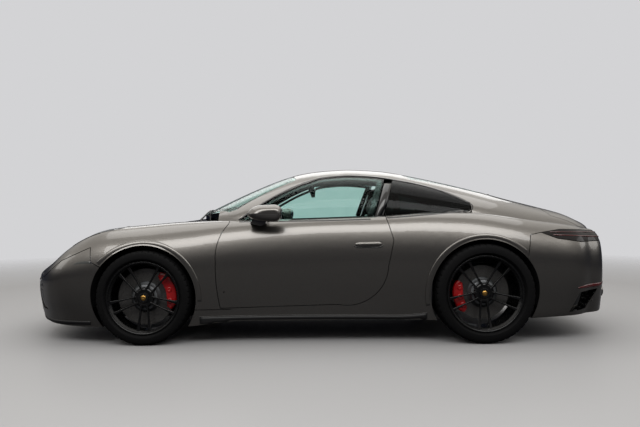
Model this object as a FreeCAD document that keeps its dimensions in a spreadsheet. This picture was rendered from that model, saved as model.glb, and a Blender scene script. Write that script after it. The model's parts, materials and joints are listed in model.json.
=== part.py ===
import FreeCAD, Part
import math
import os
import Sketcher
from types import SimpleNamespace

# Rear-engined two-door coupe. Millimetres: X runs to the rear, Y to the car's right, Z up.
# The origin is on the ground, half-way along the car, on its centre plane.

Vector = FreeCAD.Vector
doc = FreeCAD.newDocument("coupe")

# Driving sizes: name, value, what it is
SIZES = [
    ("BodyLength", 4533, "overall length"),
    ("BodyWidth", 1852, "overall width without mirrors"),
    ("FrontOverhang", 1000, "nose to front axle"),
    ("Wheelbase", 2450, "front axle to rear axle"),
    ("FrontTrack", 1591, "between front wheel centres"),
    ("RearTrack", 1557, "between rear wheel centres"),
    ("FrontTyreDiameter", 679.5, "front tyre outside"),
    ("FrontTyreWidth", 245, "front tyre section"),
    ("FrontRimDiameter", 508, "front rim seat"),
    ("RearTyreDiameter", 716.4, "rear tyre outside"),
    ("RearTyreWidth", 305, "rear tyre section"),
    ("RearRimDiameter", 533.4, "rear rim seat"),
    ("FrontArchRadius", 377, "front wheel opening"),
    ("RearArchRadius", 390, "rear wheel opening"),
    ("LinerRoom", 28, "wheel opening edge to liner"),
    ("LinerWall", 4, "wheel liner thickness"),
    ("PanelThickness", 6, "outer panels with their inner flanges"),
    ("DoorThickness", 90, "whole door, skin to trim"),
    ("RoofThickness", 34, "roof and pillars with lining"),
    ("LidThickness", 12, "engine lid"),
    ("LidReach", 130, "engine lid pivot to the lid's front edge"),
    ("LidDrop", 30, "engine lid pivot below the lid's front edge"),
    ("LidSwing", 48, "engine lid opening in degrees"),
    ("HoodReach", 66, "hood pivot to the hood's rear corners"),
    ("HoodDrop", 14, "hood pivot below the hood's rear corners"),
    ("HoodSwing", 46, "hood opening in degrees"),
    ("ArmRadius", 7, "lid hinge arms"),
    ("SpoilerLift", 90, "spoiler travel"),
    ("PanelGap", 5, "gap between outer panels"),
    ("GlassThickness", 5, "all windows"),
    ("GlassInset", 2, "window face below the skin"),
    ("SeatGap", 0.3, "clearance where two pieces seat"),
    ("FloorHeight", 150, "underside of the floor"),
    ("FloorThickness", 22, "floor pan"),
    ("WallThickness", 20, "bulkheads and tub walls"),
    ("FrontDiscDiameter", 408, "front brake disc"),
    ("RearDiscDiameter", 390, "rear brake disc"),
    ("DiscThickness", 34, "brake disc"),
    ("HubRadius", 70, "wheel hub face"),
    ("KingpinInset", 70, "wheel centre to kingpin"),
    ("HingeInset", 45, "door front edge to hinge axis"),
    ("HingeDepth", 24, "door skin to hinge axis"),
]
sheet = doc.addObject("Spreadsheet::Sheet", "sizes")
for row, (alias, value, note) in enumerate(SIZES, start=1):
    sheet.set("A%d" % row, note)
    sheet.set("B%d" % row, str(value))
    sheet.setAlias("B%d" % row, alias)
DERIVED = [
    ("FrontAxleX", "=-BodyLength / 2 + FrontOverhang"),
    ("RearAxleX", "=-BodyLength / 2 + FrontOverhang + Wheelbase"),
    ("FrontAxleZ", "=FrontTyreDiameter / 2"),
    ("RearAxleZ", "=RearTyreDiameter / 2"),
    ("TailX", "=BodyLength / 2"),
    ("FloorTop", "=FloorHeight + FloorThickness"),
]
for row, (alias, formula) in enumerate(DERIVED, start=len(SIZES) + 1):
    sheet.set("B%d" % row, formula)
    sheet.setAlias("B%d" % row, alias)
doc.recompute()
mm = SimpleNamespace(**{alias: float(sheet.get(alias)) for alias, value, note in SIZES})

# Places along the car that everything is set out from
AT = {
    "nose": -mm.BodyLength / 2,
    "front": -mm.BodyLength / 2 + mm.FrontOverhang,
    "rear": -mm.BodyLength / 2 + mm.FrontOverhang + mm.Wheelbase,
    "tail": mm.BodyLength / 2,
}
HALF = mm.BodyWidth / 2


def along(anchor, offset=0):
    return AT[anchor] + offset


# Lower body, one row a station. Half-widths are measured in from the car's half-width.
# anchor, offset, bottom z, bottom in, waist in, waist z, crown in, crown z, deck z
LOWER = [
    ("nose", 0, 262, 730, 690, 372, 736, 446, 458),
    ("nose", 10, 232, 672, 618, 374, 672, 462, 484),
    ("nose", 36, 200, 604, 545, 376, 606, 480, 520),
    ("nose", 80, 178, 524, 458, 382, 522, 498, 560),
    ("nose", 136, 162, 424, 338, 396, 420, 516, 596),
    ("nose", 200, 148, 326, 232, 414, 342, 545, 632),
    ("nose", 290, 138, 226, 118, 440, 300, 600, 680),
    ("nose", 400, 130, 160, 52, 470, 282, 690, 724),
    ("front", -380, 124, 106, 18, 500, 276, 812, 790),
    ("front", 0, 124, 76, 6, 520, 278, 862, 850),
    ("front", 330, 130, 76, 21, 540, 266, 884, 905),
    ("front", 600, 160, 86, 46, 560, 226, 890, 915),
    ("front", 1150, 165, 96, 58, 585, 181, 900, 910),
    ("rear", -700, 170, 91, 41, 600, 171, 920, 930),
    ("rear", -380, 165, 76, 14, 600, 166, 940, 950),
    ("rear", 0, 165, 66, 0, 600, 186, 935, 950),
    ("rear", 400, 175, 86, 14, 590, 226, 880, 900),
    ("rear", 700, 190, 126, 41, 560, 256, 842, 850),
    ("tail", -300, 194, 186, 96, 540, 290, 826, 838),
    ("tail", -200, 200, 226, 152, 520, 316, 800, 828),
    ("tail", -130, 208, 338, 290, 500, 404, 750, 790),
    ("tail", -80, 222, 450, 402, 474, 490, 682, 742),
    ("tail", -45, 242, 528, 480, 452, 552, 624, 696),
    ("tail", -15, 272, 606, 556, 440, 620, 566, 636),
    ("tail", 0, 306, 660, 612, 432, 672, 528, 566),
]

# Greenhouse and fastback, one row a station
# anchor, offset, base half-width, base z, top z, roundness
UPPER = [
    ("front", 230, 330, 850, 890, 2.3),
    ("front", 300, 480, 850, 930, 2.3),
    ("front", 400, 575, 850, 981, 2.3),
    ("front", 600, 668, 850, 1078, 2.35),
    ("front", 800, 712, 850, 1166, 2.4),
    ("front", 1000, 730, 850, 1240, 2.5),
    ("front", 1200, 740, 850, 1283, 2.6),
    ("front", 1450, 745, 850, 1303, 2.6),
    ("rear", -900, 748, 850, 1303, 2.6),
    ("rear", -650, 746, 850, 1285, 2.6),
    ("rear", -350, 738, 850, 1230, 2.55),
    ("rear", 0, 716, 850, 1148, 2.5),
    ("rear", 350, 682, 800, 1052, 2.5),
    ("rear", 600, 652, 770, 986, 2.6),
    ("rear", 750, 622, 750, 943, 2.7),
    ("tail", -240, 572, 745, 900, 2.8),
    ("tail", -170, 482, 742, 874, 2.8),
    ("tail", -120, 362, 740, 856, 2.8),
    ("tail", -96, 236, 738, 846, 2.8),
]


def table_at(table, x):
    """The table's columns at one place along the car, by smooth curves through its stations."""
    places = [along(row[0], row[1]) for row in table]
    last = len(places) - 1
    x = min(max(x, places[0]), places[last])
    k = 0
    while k < last - 1 and x > places[k + 1]:
        k += 1
    width = places[k + 1] - places[k]
    t = (x - places[k]) / width
    values = []
    for column in range(2, len(table[0])):
        def value(i):
            return table[i][column]

        def slope(i):
            low = max(i - 1, 0)
            high = min(i + 1, last)
            return (value(high) - value(low)) / (places[high] - places[low])
        a = value(k)
        b = value(k + 1)
        values.append((2 * t**3 - 3 * t**2 + 1) * a + (t**3 - 2 * t**2 + t) * width * slope(k)
                      + (3 * t**2 - 2 * t**3) * b + (t**3 - t**2) * width * slope(k + 1))
    return values


def both_sides(half):
    """A section from its left edge over the top to its right edge, given its right half."""
    return [(-y, z) for y, z in half[:-1]] + half[::-1]


def lower_half(x, inset):
    bottom_z, bottom_in, waist_in, waist_z, crown_in, crown_z, deck_z = table_at(LOWER, x)
    inset = min(inset, 0.3 * (crown_z - bottom_z))
    bottom = HALF - bottom_in - inset
    waist = HALF - waist_in - inset
    crown = min(HALF - crown_in, waist - 10)
    points = []
    for part in range(4):
        t = part / 4
        points.append((bottom + (waist - bottom) * math.sin(t * math.pi / 2),
                       bottom_z + inset + (waist_z - bottom_z - inset) * t))
    for part in range(7):
        angle = math.radians(15 * part)
        points.append((crown + (waist - crown) * math.cos(angle) ** 0.86,
                       waist_z + (crown_z - inset - waist_z) * math.sin(angle) ** 0.86))
    for part in range(1, 5):
        t = part / 4
        points.append((crown * (1 - t), crown_z - inset + (deck_z - crown_z) * (3 * t**2 - 2 * t**3)))
    return points


def upper_half(x, inset):
    base, base_z, top_z, roundness = table_at(UPPER, x)
    power = 2 / roundness
    points = []
    for part in range(10):
        angle = math.radians(10 * part)
        points.append((max(base - inset, 60) * math.cos(angle) ** power if part < 9 else 0.0,
                       base_z + max(top_z - inset - base_z, 8) * math.sin(angle) ** power))
    return points


def skin_solid(table, half_section, inset):
    """The closed form inside one smooth skin, drawn in by an inset."""
    start = along(table[0][0], table[0][1])
    end = along(table[-1][0], table[-1][1])
    stations = []
    for first, second in zip(table, table[1:]):
        a = along(first[0], first[1])
        b = along(second[0], second[1])
        stations += [a, (a + b) / 2]
    stations.append(end)
    grid = []
    for x in stations:
        middle = (x - start) / (end - start)
        shifted = x + inset * (1 - 2 * middle)
        grid.append([Vector(shifted, y, z) for y, z in both_sides(half_section(x, inset))])
    surface = Part.BSplineSurface()
    surface.interpolate(grid)
    u_low, u_high, v_low, v_high = surface.bounds()
    left = surface.vIso(v_low).toShape()
    right = surface.vIso(v_high).toShape()
    faces = [surface.toShape(), Part.makeRuledSurface(left, right)]
    for u in (u_low, u_high):
        edge = surface.uIso(u).toShape()
        closing = Part.makeLine(surface.value(u, v_high), surface.value(u, v_low))
        faces.append(Part.Face(Part.Wire([edge, closing])))
    shell = Part.makeShell(faces)
    shell.sewShape()
    solid = Part.makeSolid(shell)
    if solid.Volume < 0:
        solid.reverse()
    return solid


def lower(inset=0.0):
    return skin_solid(LOWER, lower_half, inset)


def upper(inset=0.0):
    return skin_solid(UPPER, upper_half, inset)


def outline(points):
    """A closed wire from points; a pair of points is an arc through the first to the second."""
    last = points[-1] if not isinstance(points[-1][0], tuple) else points[-1][1]
    edges = []
    here = Vector(last[0], last[1], 0)
    for point in points:
        if isinstance(point[0], tuple):
            middle = Vector(point[0][0], point[0][1], 0)
            there = Vector(point[1][0], point[1][1], 0)
            edges.append(Part.Arc(here, middle, there).toShape())
        else:
            there = Vector(point[0], point[1], 0)
            if there != here:
                edges.append(Part.makeLine(here, there))
        here = there
    return Part.Wire(edges)


def grown(wire, grow):
    face = Part.Face(wire)
    return face.makeOffset2D(grow) if grow else face


def side_prism(points, y_low, y_high, grow=0.0):
    """Everything between two y planes inside an outline drawn in x and z."""
    face = grown(outline(points), grow)
    face.rotate(Vector(0, 0, 0), Vector(1, 0, 0), 90)
    face.translate(Vector(0, y_high, 0))
    return face.extrude(Vector(0, y_low - y_high, 0))


def plan_prism(points, z_low, z_high, grow=0.0):
    """Everything between two heights inside an outline drawn in x and y."""
    face = grown(outline(points), grow)
    face.translate(Vector(0, 0, z_low))
    return face.extrude(Vector(0, 0, z_high - z_low))


def block(x, y, z):
    """A box from three (low, high) pairs."""
    return Part.makeBox(x[1] - x[0], y[1] - y[0], z[1] - z[0], Vector(x[0], y[0], z[0]))


def rod(start, end, radius):
    """A round bar between two points."""
    start = Vector(*start)
    end = Vector(*end)
    return Part.makeCylinder(radius, (end - start).Length, start, end - start)


def across(x, z, radius, y_low, y_high):
    """A cylinder along y."""
    return Part.makeCylinder(radius, y_high - y_low, Vector(x, y_low, z), Vector(0, 1, 0))


def mirrored(shape):
    return shape.mirror(Vector(0, 0, 0), Vector(0, 1, 0))


def joined(shapes):
    result = shapes[0]
    for shape in shapes[1:]:
        result = result.fuse(shape)
    return result.removeSplitter()


def less(shape, cutters):
    for cutter in cutters:
        shape = shape.cut(cutter)
    return shape


# Wheel places
front_axle_z = mm.FrontTyreDiameter / 2
rear_axle_z = mm.RearTyreDiameter / 2
front_wheel_y = mm.FrontTrack / 2
rear_wheel_y = mm.RearTrack / 2
kingpin_y = front_wheel_y - mm.KingpinInset
ALL = 3000

# Outlines in side view, as offsets from the axles and ends
front = AT["front"]
rear = AT["rear"]
nose = AT["nose"]
tail = AT["tail"]

door_outline = [
    (front + 604, 881), (front + 600, 865), ((front + 522, 690), (front + 518, 600)),
    ((front + 524, 420), (front + 548, 259)), (rear - 1050, 281),
    ((rear - 800, 340), (rear - 690, 560)), ((rear - 650, 745), (rear - 706, 903))]
window_outline = [
    (front + 664, 886), ((front + 960, 1082), (front + 1270, 1208)),
    ((front + 1500, 1228), (rear - 566, 1184)), ((rear - 260, 1105), (rear - 52, 1004)),
    ((rear - 50, 966), (rear - 115, 957)), ((rear - 800, 900), (front + 664, 886))]
pillar_outline = [(rear - 812, 820), (rear - 650, 1300), (rear - 585, 1300), (rear - 742, 820)]
sill_top = 250

front_bumper_outline = [
    (nose - 200, 0), (front - 300, 0), (front - 300, 560), (front - 372, 600), (front - 385, 700),
    (nose + 400, 606), (nose + 310, 540), (nose + 210, 472), (nose + 120, 452), (nose - 200, 452)]
rear_bumper_outline = [
    (rear + 300, 0), (tail + 200, 0), (tail + 200, 728), (tail - 150, 725), (rear + 700, 721),
    (rear + 520, 747), (rear + 410, 790), (rear + 330, 775), (rear + 300, 600)]
tail_lamp_outline = [
    (rear + 410, 795), (rear + 520, 752), (rear + 700, 726), (tail - 150, 730), (tail + 200, 733),
    (tail + 200, 790), (tail - 150, 796), (rear + 700, 812), (rear + 560, 816)]

# Outlines in plan, right half first then mirrored


def full_plan(half):
    """A closed outline in x and y from its right half."""
    return half + [(x, -y) for x, y in half[-2:0:-1]]


hood_outline = full_plan([
    (nose + 175, 0), (nose + 190, 250), (nose + 250, 400), (nose + 420, 505), (front + 100, 570),
    (front + 400, 592), (front + 465, 585), (front + 380, 420), (front + 312, 200), (front + 300, 0)])
screen_outline = full_plan([
    (front + 318, 0), (front + 345, 250), (front + 420, 440), (front + 580, 610), (front + 640, 622),
    (front + 1055, 500), (front + 1085, 470), (front + 1050, 250), (front + 1042, 0)])
back_glass_outline = full_plan([
    (rear - 560, 0), (rear - 545, 300), (rear - 470, 460), (rear + 60, 430), (rear + 110, 380),
    (rear + 128, 0)])
lid_outline = full_plan([
    (rear + 165, 0), (rear + 160, 380), (rear + 190, 440), (rear + 470, 455), (rear + 520, 440),
    (rear + 545, 0)])
spoiler_outline = full_plan([
    (rear + 560, 0), (rear + 560, 480), (rear + 590, 560), (tail - 130, 590), (tail + 100, 590),
    (tail + 100, 0)])
roof_outline = full_plan([
    (front + 1000, 0), (front + 1000, 440), (front + 1200, 470), (rear - 800, 476), (rear - 300, 440),
    (rear - 300, 0)])
deck_outline = full_plan([
    (rear - 299.7, 0), (rear - 299.7, 440), (rear + 200, 480), (rear + 600, 595), (tail + 100, 605),
    (tail + 100, 0)])
cabin_outline = full_plan([
    (front + 330, 0), (front + 440, 470), (front + 640, 640), (front + 900, 690), (rear - 300, 690),
    (rear + 100, 640), (rear + 140, 0)])

# Skins at the depths the pieces need
body_outer = lower()
body_panel = lower(mm.PanelThickness)
body_seat = lower(mm.PanelThickness + mm.SeatGap)
body_door = lower(mm.DoorThickness)
top_outer = upper()
top_inner = upper(mm.RoofThickness)
top_glass = upper(mm.GlassInset)
top_under_glass = upper(mm.GlassInset + mm.GlassThickness)
top_rebate = upper(mm.GlassInset + mm.GlassThickness + mm.SeatGap)

lower_panel = body_outer.cut(body_panel)
upper_panel = top_outer.cut(top_inner)
glass_shell = top_glass.cut(top_under_glass)
rebate = top_outer.cut(top_rebate)

half_gap = mm.PanelGap / 2
left_side = block((-ALL, ALL), (-ALL, 0), (-ALL, ALL))
front_arch = across(front, front_axle_z, mm.FrontArchRadius, -ALL, ALL)
rear_arch = across(rear, rear_axle_z, mm.RearArchRadius, -ALL, ALL)
tub_half_width = 462
front_arches = front_arch.cut(block((-ALL, ALL), (-tub_half_width, tub_half_width), (-ALL, ALL)))
rear_arches = rear_arch.cut(block((-ALL, ALL), (-590, 590), (-ALL, ALL)))

parts = {}


def add(name, shape):
    """One sub-part of the car."""
    piece = doc.addObject("Part::Feature", name)
    piece.Label = name
    piece.Shape = shape
    parts[name] = piece
    return shape


def add_pair(name, left):
    add(name + "_left", left)
    add(name + "_right", mirrored(left))


# Pieces that are document objects, bound to the sheet by formulas
def keep(name, thing):
    """Hands in one document object as a sub-part."""
    thing.Label = name
    parts[name] = thing


def solid(kind, name, place, axis=(0, 0, 1), **sizes):
    """A primitive whose place and sizes are formulas on the sheet, or numbers."""
    thing = doc.addObject("Part::" + kind, name)
    turn = FreeCAD.Rotation(Vector(0, 0, 1), Vector(*axis))
    thing.Placement = FreeCAD.Placement(Vector(0, 0, 0), turn)
    for letter, value in zip("xyz", place):
        thing.setExpression("Placement.Base." + letter, str(value))
    for size, value in sizes.items():
        thing.setExpression(size, str(value))
    return thing


def box(name, x, y, z):
    """A box from a low corner and a size along each axis."""
    return solid("Box", name, (x[0], y[0], z[0]), Length=x[1], Width=y[1], Height=z[1])


def fused(name, things):
    result = doc.addObject("Part::MultiFuse", name)
    result.Shapes = things
    result.Refine = True
    return result


def cut(name, base, tool):
    result = doc.addObject("Part::Cut", name)
    result.Base = base
    result.Tool = tool
    return result


def mirror_of(name, source):
    result = doc.addObject("Part::Mirroring", name)
    result.Source = source
    result.Normal = Vector(0, 1, 0)
    return result


def padded(name, low, size):
    """A body padded from a rectangle whose corner and sides are formulas on the sheet."""
    body = doc.addObject("PartDesign::Body", name)
    sketch = body.newObject("Sketcher::SketchObject", name + "_sketch")
    sketch.AttachmentSupport = (body.Origin.OriginFeatures[3], [""])
    sketch.MapMode = "FlatFace"
    corners = [Vector(0, 0, 0), Vector(10, 0, 0), Vector(10, 10, 0), Vector(0, 10, 0)]
    for i in range(4):
        sketch.addGeometry(Part.LineSegment(corners[i], corners[(i + 1) % 4]), False)
    for i in range(4):
        sketch.addConstraint(Sketcher.Constraint("Coincident", i, 2, (i + 1) % 4, 1))
    for i, kind in ((0, "Horizontal"), (2, "Horizontal"), (1, "Vertical"), (3, "Vertical")):
        sketch.addConstraint(Sketcher.Constraint(kind, i))
    for label, kind, ends, formula in (
            ("left", "DistanceX", (-1, 1, 0, 1), low[0]), ("front", "DistanceY", (-1, 1, 0, 1), low[1]),
            ("length", "DistanceX", (0, 1, 0, 2), size[0]), ("width", "DistanceY", (1, 1, 1, 2), size[1])):
        index = sketch.addConstraint(Sketcher.Constraint(kind, *ends, 10.0))
        sketch.renameConstraint(index, label)
        sketch.setExpression("Constraints." + label, str(formula))
    sketch.setExpression("AttachmentOffset.Base.z", str(low[2]))
    feature = body.newObject("PartDesign::Pad", name + "_pad")
    feature.Profile = sketch
    feature.setExpression("Length", str(size[2]))
    return body


FRONT_X = "sizes.FrontAxleX"
REAR_X = "sizes.RearAxleX"


def gooseneck(pivot_x, pivot_z, reach, side, swing, y):
    """A bent lid arm: down from its pivot, then round it to the lid; side 1 reaches rearward.
    Returns the arm and its fixed pin."""
    radius = reach + mm.PanelGap + mm.ArmRadius + 1
    low = math.radians(swing + 14)
    high = math.radians(14)

    def spot(angle):
        return Vector(pivot_x + side * radius * math.cos(angle), y, pivot_z + radius * math.sin(angle))
    bend = Part.Arc(spot(-low), spot((high - low) / 2), spot(high)).toShape()
    tangent = bend.tangentAt(bend.FirstParameter)
    ring = Part.Wire(Part.makeCircle(mm.ArmRadius, spot(-low), tangent))
    arc = Part.Wire(bend).makePipeShell([ring], True, False)
    straight = rod((pivot_x, y, pivot_z), tuple(spot(-low)), mm.ArmRadius)
    corner = Part.makeSphere(mm.ArmRadius, spot(-low))
    boss = across(pivot_x, pivot_z, 11, y - 9, y + 9)
    arm = joined([arc, straight, corner, boss]).cut(across(pivot_x, pivot_z, 5.3, y - 40, y + 40))
    return arm, across(pivot_x, pivot_z, 5, y - 14, y + 40)


# Lid pivots
lid_front = rear + 162.5
lid_pivot_x = lid_front - mm.LidReach
lid_pivot_z = table_at(UPPER, lid_front)[2] - 22 - mm.LidDrop
hood_rear = front + 462.5
hood_pivot_x = hood_rear + mm.HoodReach
hood_pivot_z = table_at(LOWER, hood_rear)[5] - mm.HoodDrop

# Nose, lids and fenders
hood_cut = plan_prism(hood_outline, 420, 1100, half_gap)
nose_top = block((nose - 200, nose + 430), (-500, 500), (445, 1000))
nose_region = side_prism(front_bumper_outline, -ALL, ALL, 0).fuse(nose_top)
headlamp_bore = rod((front - 520, -640, 640), (front - 235, -640, 900), 118)
headlamp_bores = [headlamp_bore, mirrored(headlamp_bore)]
hood = lower_panel.common(plan_prism(hood_outline, 420, 1100, -half_gap))
hood_arm, hood_pin = gooseneck(hood_pivot_x, hood_pivot_z, mm.HoodReach, -1, mm.HoodSwing, 571)
hood_arm = hood_arm.common(body_outer)
add("hood", joined([hood, hood_arm, mirrored(hood_arm)]))
side_intake = side_prism([(nose - 50, 232), (nose + 250, 232), (nose + 250, 372), (nose + 60, 395),
                          (nose - 50, 392)], -692, -452)
middle_points = [(nose - 50, 246), (nose + 160, 246), (nose + 160, 330), (nose - 50, 345)]
middle_intake = side_prism(middle_points, -412, 412)
intakes = [side_intake, mirrored(side_intake), middle_intake]
add("front_bumper", less(lower_panel.common(nose_region),
                         [hood_cut, front_arches] + headlamp_bores + intakes))
door_zone = side_prism(door_outline, -ALL, 0, half_gap)
door_belt = [(front + 604, 920)] + door_outline[:-1] + [(rear - 650, 745), (rear - 706, 930)]
door_belt_zone = side_prism(door_belt, -ALL, 0, half_gap)
fender_region = block((nose, front + 620), (-ALL, 0), (sill_top + half_gap, 1000))
cowl_cut = plan_prism(screen_outline, 700, 1300, 30)
fender = less(lower_panel.common(fender_region),
              [hood_cut, nose_top, side_prism(front_bumper_outline, -ALL, ALL, mm.PanelGap), front_arch,
               door_belt_zone, headlamp_bore, top_outer]).common(block((-ALL, ALL), (-ALL, -400), (-ALL, ALL)))
add_pair("fender", max(fender.Solids, key=lambda solid: solid.Volume))

# Doors
door = body_outer.cut(body_door).common(side_prism(door_belt, -ALL, -400, -half_gap))
pillar_feet = upper(-mm.PanelGap).common(
    joined([block((-ALL, front + 676), (-ALL, 0), (880, ALL)),
            block((rear - 742, ALL), (-ALL, 0), (880, ALL))]))
door = door.cut(pillar_feet)
glass_slot = upper(mm.GlassInset - mm.SeatGap).cut(upper(mm.GlassInset + mm.GlassThickness + mm.SeatGap))
slot_floor = 872
door = door.cut(glass_slot.common(block((front + 640, rear - 740), (-ALL, 0), (slot_floor, ALL))))
door = door.cut(plan_prism(cabin_outline, 600, 1000))
hinge_x = front + 518 + mm.HingeInset
hinge_y = HALF - table_at(LOWER, hinge_x)[2] - mm.HingeDepth
HINGE_HEIGHTS = (400, 650)
hinge_pins = []
for z in HINGE_HEIGHTS:
    door = door.cut(block((front + 480, hinge_x + 18), (-hinge_y - 14, -hinge_y + 120), (z - 26, z + 26)))
    door = door.cut(rod((hinge_x, -hinge_y, z - 52), (hinge_x, -hinge_y, z + 52), 8.3))
    hinge_pins += [rod((hinge_x, -hinge_y, z - 50), (hinge_x, -hinge_y, z + 50), 8),
                   rod((hinge_x, -hinge_y, z), (hinge_x - 22, -hinge_y + 56, z), 9),
                   Part.makeSphere(9, Vector(hinge_x - 22, -hinge_y + 56, z)),
                   rod((hinge_x - 22, -hinge_y + 56, z), (front + 496, -hinge_y + 66, z), 9)]
add_pair("door", door)

# Body sides with pillars, quarters and sills
window_hole = side_prism(window_outline, -ALL, -100)
screen_rebate = rebate.common(plan_prism(screen_outline, 700, 1300))
screen_hole = plan_prism(screen_outline, 700, 1300, -22)
back_rebate = rebate.common(plan_prism(back_glass_outline, 700, 1400))
back_hole = plan_prism(back_glass_outline, 700, 1400, -22)
roof_zone = plan_prism(roof_outline, 900, 1400)
deck_zone = plan_prism(deck_outline, 700, 1400)
sill_inner = 700
rear_bumper_cut = side_prism(rear_bumper_outline, -ALL, ALL, mm.PanelGap)
lamp_cut = side_prism(tail_lamp_outline, -ALL, ALL, mm.SeatGap)
spoiler_well = plan_prism(spoiler_outline, 790, 1200, 14)
side_lower = less(lower_panel.common(block((front, ALL), (-ALL, 0), (-ALL, ALL))),
                  [top_outer, door_belt_zone, front_arch, rear_arch, rear_bumper_cut, lamp_cut, spoiler_well,
                   block((-ALL, front + 622), (-ALL, ALL), (sill_top - half_gap, ALL)),
                   block((-ALL, ALL), (-sill_inner, 0), (-ALL, 500))])
side_upper = less(upper_panel.common(left_side),
                  [body_panel, roof_zone, deck_zone, screen_rebate, screen_hole, window_hole, door_zone,
                   lamp_cut, back_rebate, back_hole, block((-ALL, front + 500), (-ALL, ALL), (-ALL, ALL))])
body_side = side_lower.fuse(side_upper)
add_pair("body_side", body_side)

# Roof and rear deck
roof = less(upper_panel.common(roof_zone), [screen_rebate, screen_hole, back_rebate, back_hole])
add("roof", roof)
lid_cut = plan_prism(lid_outline, 700, 1300, half_gap)
lid_solid = top_outer.cut(upper(mm.LidThickness)).common(plan_prism(lid_outline, 700, 1300, -half_gap))
lid_arm, lid_pin = gooseneck(lid_pivot_x, lid_pivot_z, mm.LidReach, 1, mm.LidSwing, 330)
lid_slots = [block((rear + 205, rear + 425), (y - 7, y + 7), (700, 1300)) for y in range(85, 325, 34)]
lid_slots += [mirrored(slot) for slot in lid_slots]
lid_solid = lid_solid.cut(Part.makeCompound(lid_slots))
lid_solid = joined([lid_solid, lid_arm, mirrored(lid_arm)])
add("rear_lid", lid_solid)
spoiler_cut = plan_prism(spoiler_outline, 700, 1300, half_gap)
lift = Vector(0.5, 0, 3 ** 0.5 / 2)
strut_top = Vector(tail - 190, -300, 860)
strut_foot = strut_top - lift * 300
strut_room = top_glass.fuse(block((-ALL, ALL), (-ALL, ALL), (0, 780)))
strut = rod(tuple(strut_foot), tuple(strut_top), 11).common(strut_room)
spoiler = upper_panel.common(plan_prism(spoiler_outline, 700, 1300, -half_gap)).common(
    block((-ALL, ALL), (-ALL, ALL), (800, ALL)))
spoiler = spoiler.cut(lower(-mm.PanelGap))
add("spoiler", joined([spoiler, strut, mirrored(strut)]))
strut_hole = rod(tuple(strut_foot), tuple(strut_top), 17)
spoiler_tray = less(lower_panel.common(spoiler_well), [lamp_cut, strut_hole, mirrored(strut_hole)])
rear_deck = less(upper_panel.common(deck_zone),
                 [back_rebate, back_hole, lid_cut, spoiler_cut, body_outer, lamp_cut])
add("rear_deck", joined([rear_deck, spoiler_tray]))


# Windows
def biggest(shape):
    return max(shape.Solids, key=lambda solid: solid.Volume)


def glazing(region):
    return biggest(glass_shell.common(region))


add("windscreen", glazing(plan_prism(screen_outline, 700, 1300, -mm.GlassInset)))
add("rear_window", glazing(plan_prism(back_glass_outline, 700, 1400, -mm.GlassInset)))
window_zone = side_prism(window_outline, -ALL, -300, -mm.PanelGap).common(
    block((-ALL, rear - 700), (-ALL, 0), (0, ALL)))
window_foot = side_prism([(front + 672, 892), (front + 672, slot_floor + 0.3), (rear - 800, slot_floor + 0.3),
                          (rear - 790, 904)], -ALL, -300)
add_pair("door_glass", glazing(window_zone.fuse(window_foot).cut(
    side_prism(pillar_outline, -ALL, ALL, mm.PanelGap))))
quarter_zone = side_prism(window_outline, -ALL, -300, -mm.SeatGap).cut(lower(-mm.SeatGap))
quarter_glass = less(glazing(quarter_zone), [side_prism(pillar_outline, -ALL, ALL, mm.SeatGap),
                                             block((-ALL, rear - 700), (-ALL, 0), (0, ALL))])
add("quarter_glasses", Part.makeCompound([quarter_glass, mirrored(quarter_glass)]))

# Lamps
LENS_THICKNESS = 3.0
LAMP_WALL = 4.0
lamp_room = lower(1.0)
lamp_bore = rod((front - 520, -640, 640), (front - 235, -640, 900), 118 - half_gap)
lamp_hollow = rod((front - 520, -640, 640), (front - 235, -640, 900), 118 - half_gap - LAMP_WALL)
lamp_room_cut = [hood_cut, front_arch,
                 across(front, front_axle_z, mm.FrontArchRadius + mm.LinerRoom + mm.LinerWall + 2, -ALL, ALL)]
under_lens = lower(1.0 + LENS_THICKNESS)
lens = less(lamp_room.common(lamp_bore).cut(under_lens), lamp_room_cut)
bowl = less(lower(1.0 + LENS_THICKNESS + mm.SeatGap).common(lamp_bore).cut(lower(70)), lamp_room_cut)
bowl = bowl.cut(lamp_hollow.common(lower(0)).cut(lower(62)))
add_pair("headlamp", biggest(lens))
add_pair("headlamp_bowl", biggest(bowl))
tail_lamp = lower(1.5).cut(lower(40)).common(side_prism(tail_lamp_outline, -ALL, ALL))
tail_lamp = less(tail_lamp, [upper(-mm.PanelGap).common(block((-ALL, ALL), (-ALL, ALL), (785, ALL))),
                             strut_hole, mirrored(strut_hole)])
add("tail_lamp", Part.makeCompound([solid for solid in tail_lamp.Solids if solid.Volume > 50000]))
rear_vent_points = [(rear + 690, 360), (tail - 235, 378), (tail - 235, 372), (tail - 320, 232),
                    (rear + 620, 212)]
rear_vent = side_prism(rear_vent_points, -ALL, -560)
rear_vent_wide = side_prism(rear_vent_points, -ALL, -550, 10)
valance_opening = block((tail - 120, tail + 50), (-420, 420), (232, 372))
valance_wide = block((tail - 130, tail + 60), (-430, 430), (222, 382))
TIP_PLACES = (-330, -230, 230, 330)
TIP_HEIGHT = 310
tip_holes = [rod((tail - 100, y, TIP_HEIGHT), (tail + 100, y, TIP_HEIGHT), 47) for y in TIP_PLACES]
add("rear_bumper", less(lower_panel.common(side_prism(rear_bumper_outline, -ALL, ALL)),
                        [rear_arch, lamp_cut, top_outer, rear_vent, mirrored(rear_vent), valance_opening]))

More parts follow.
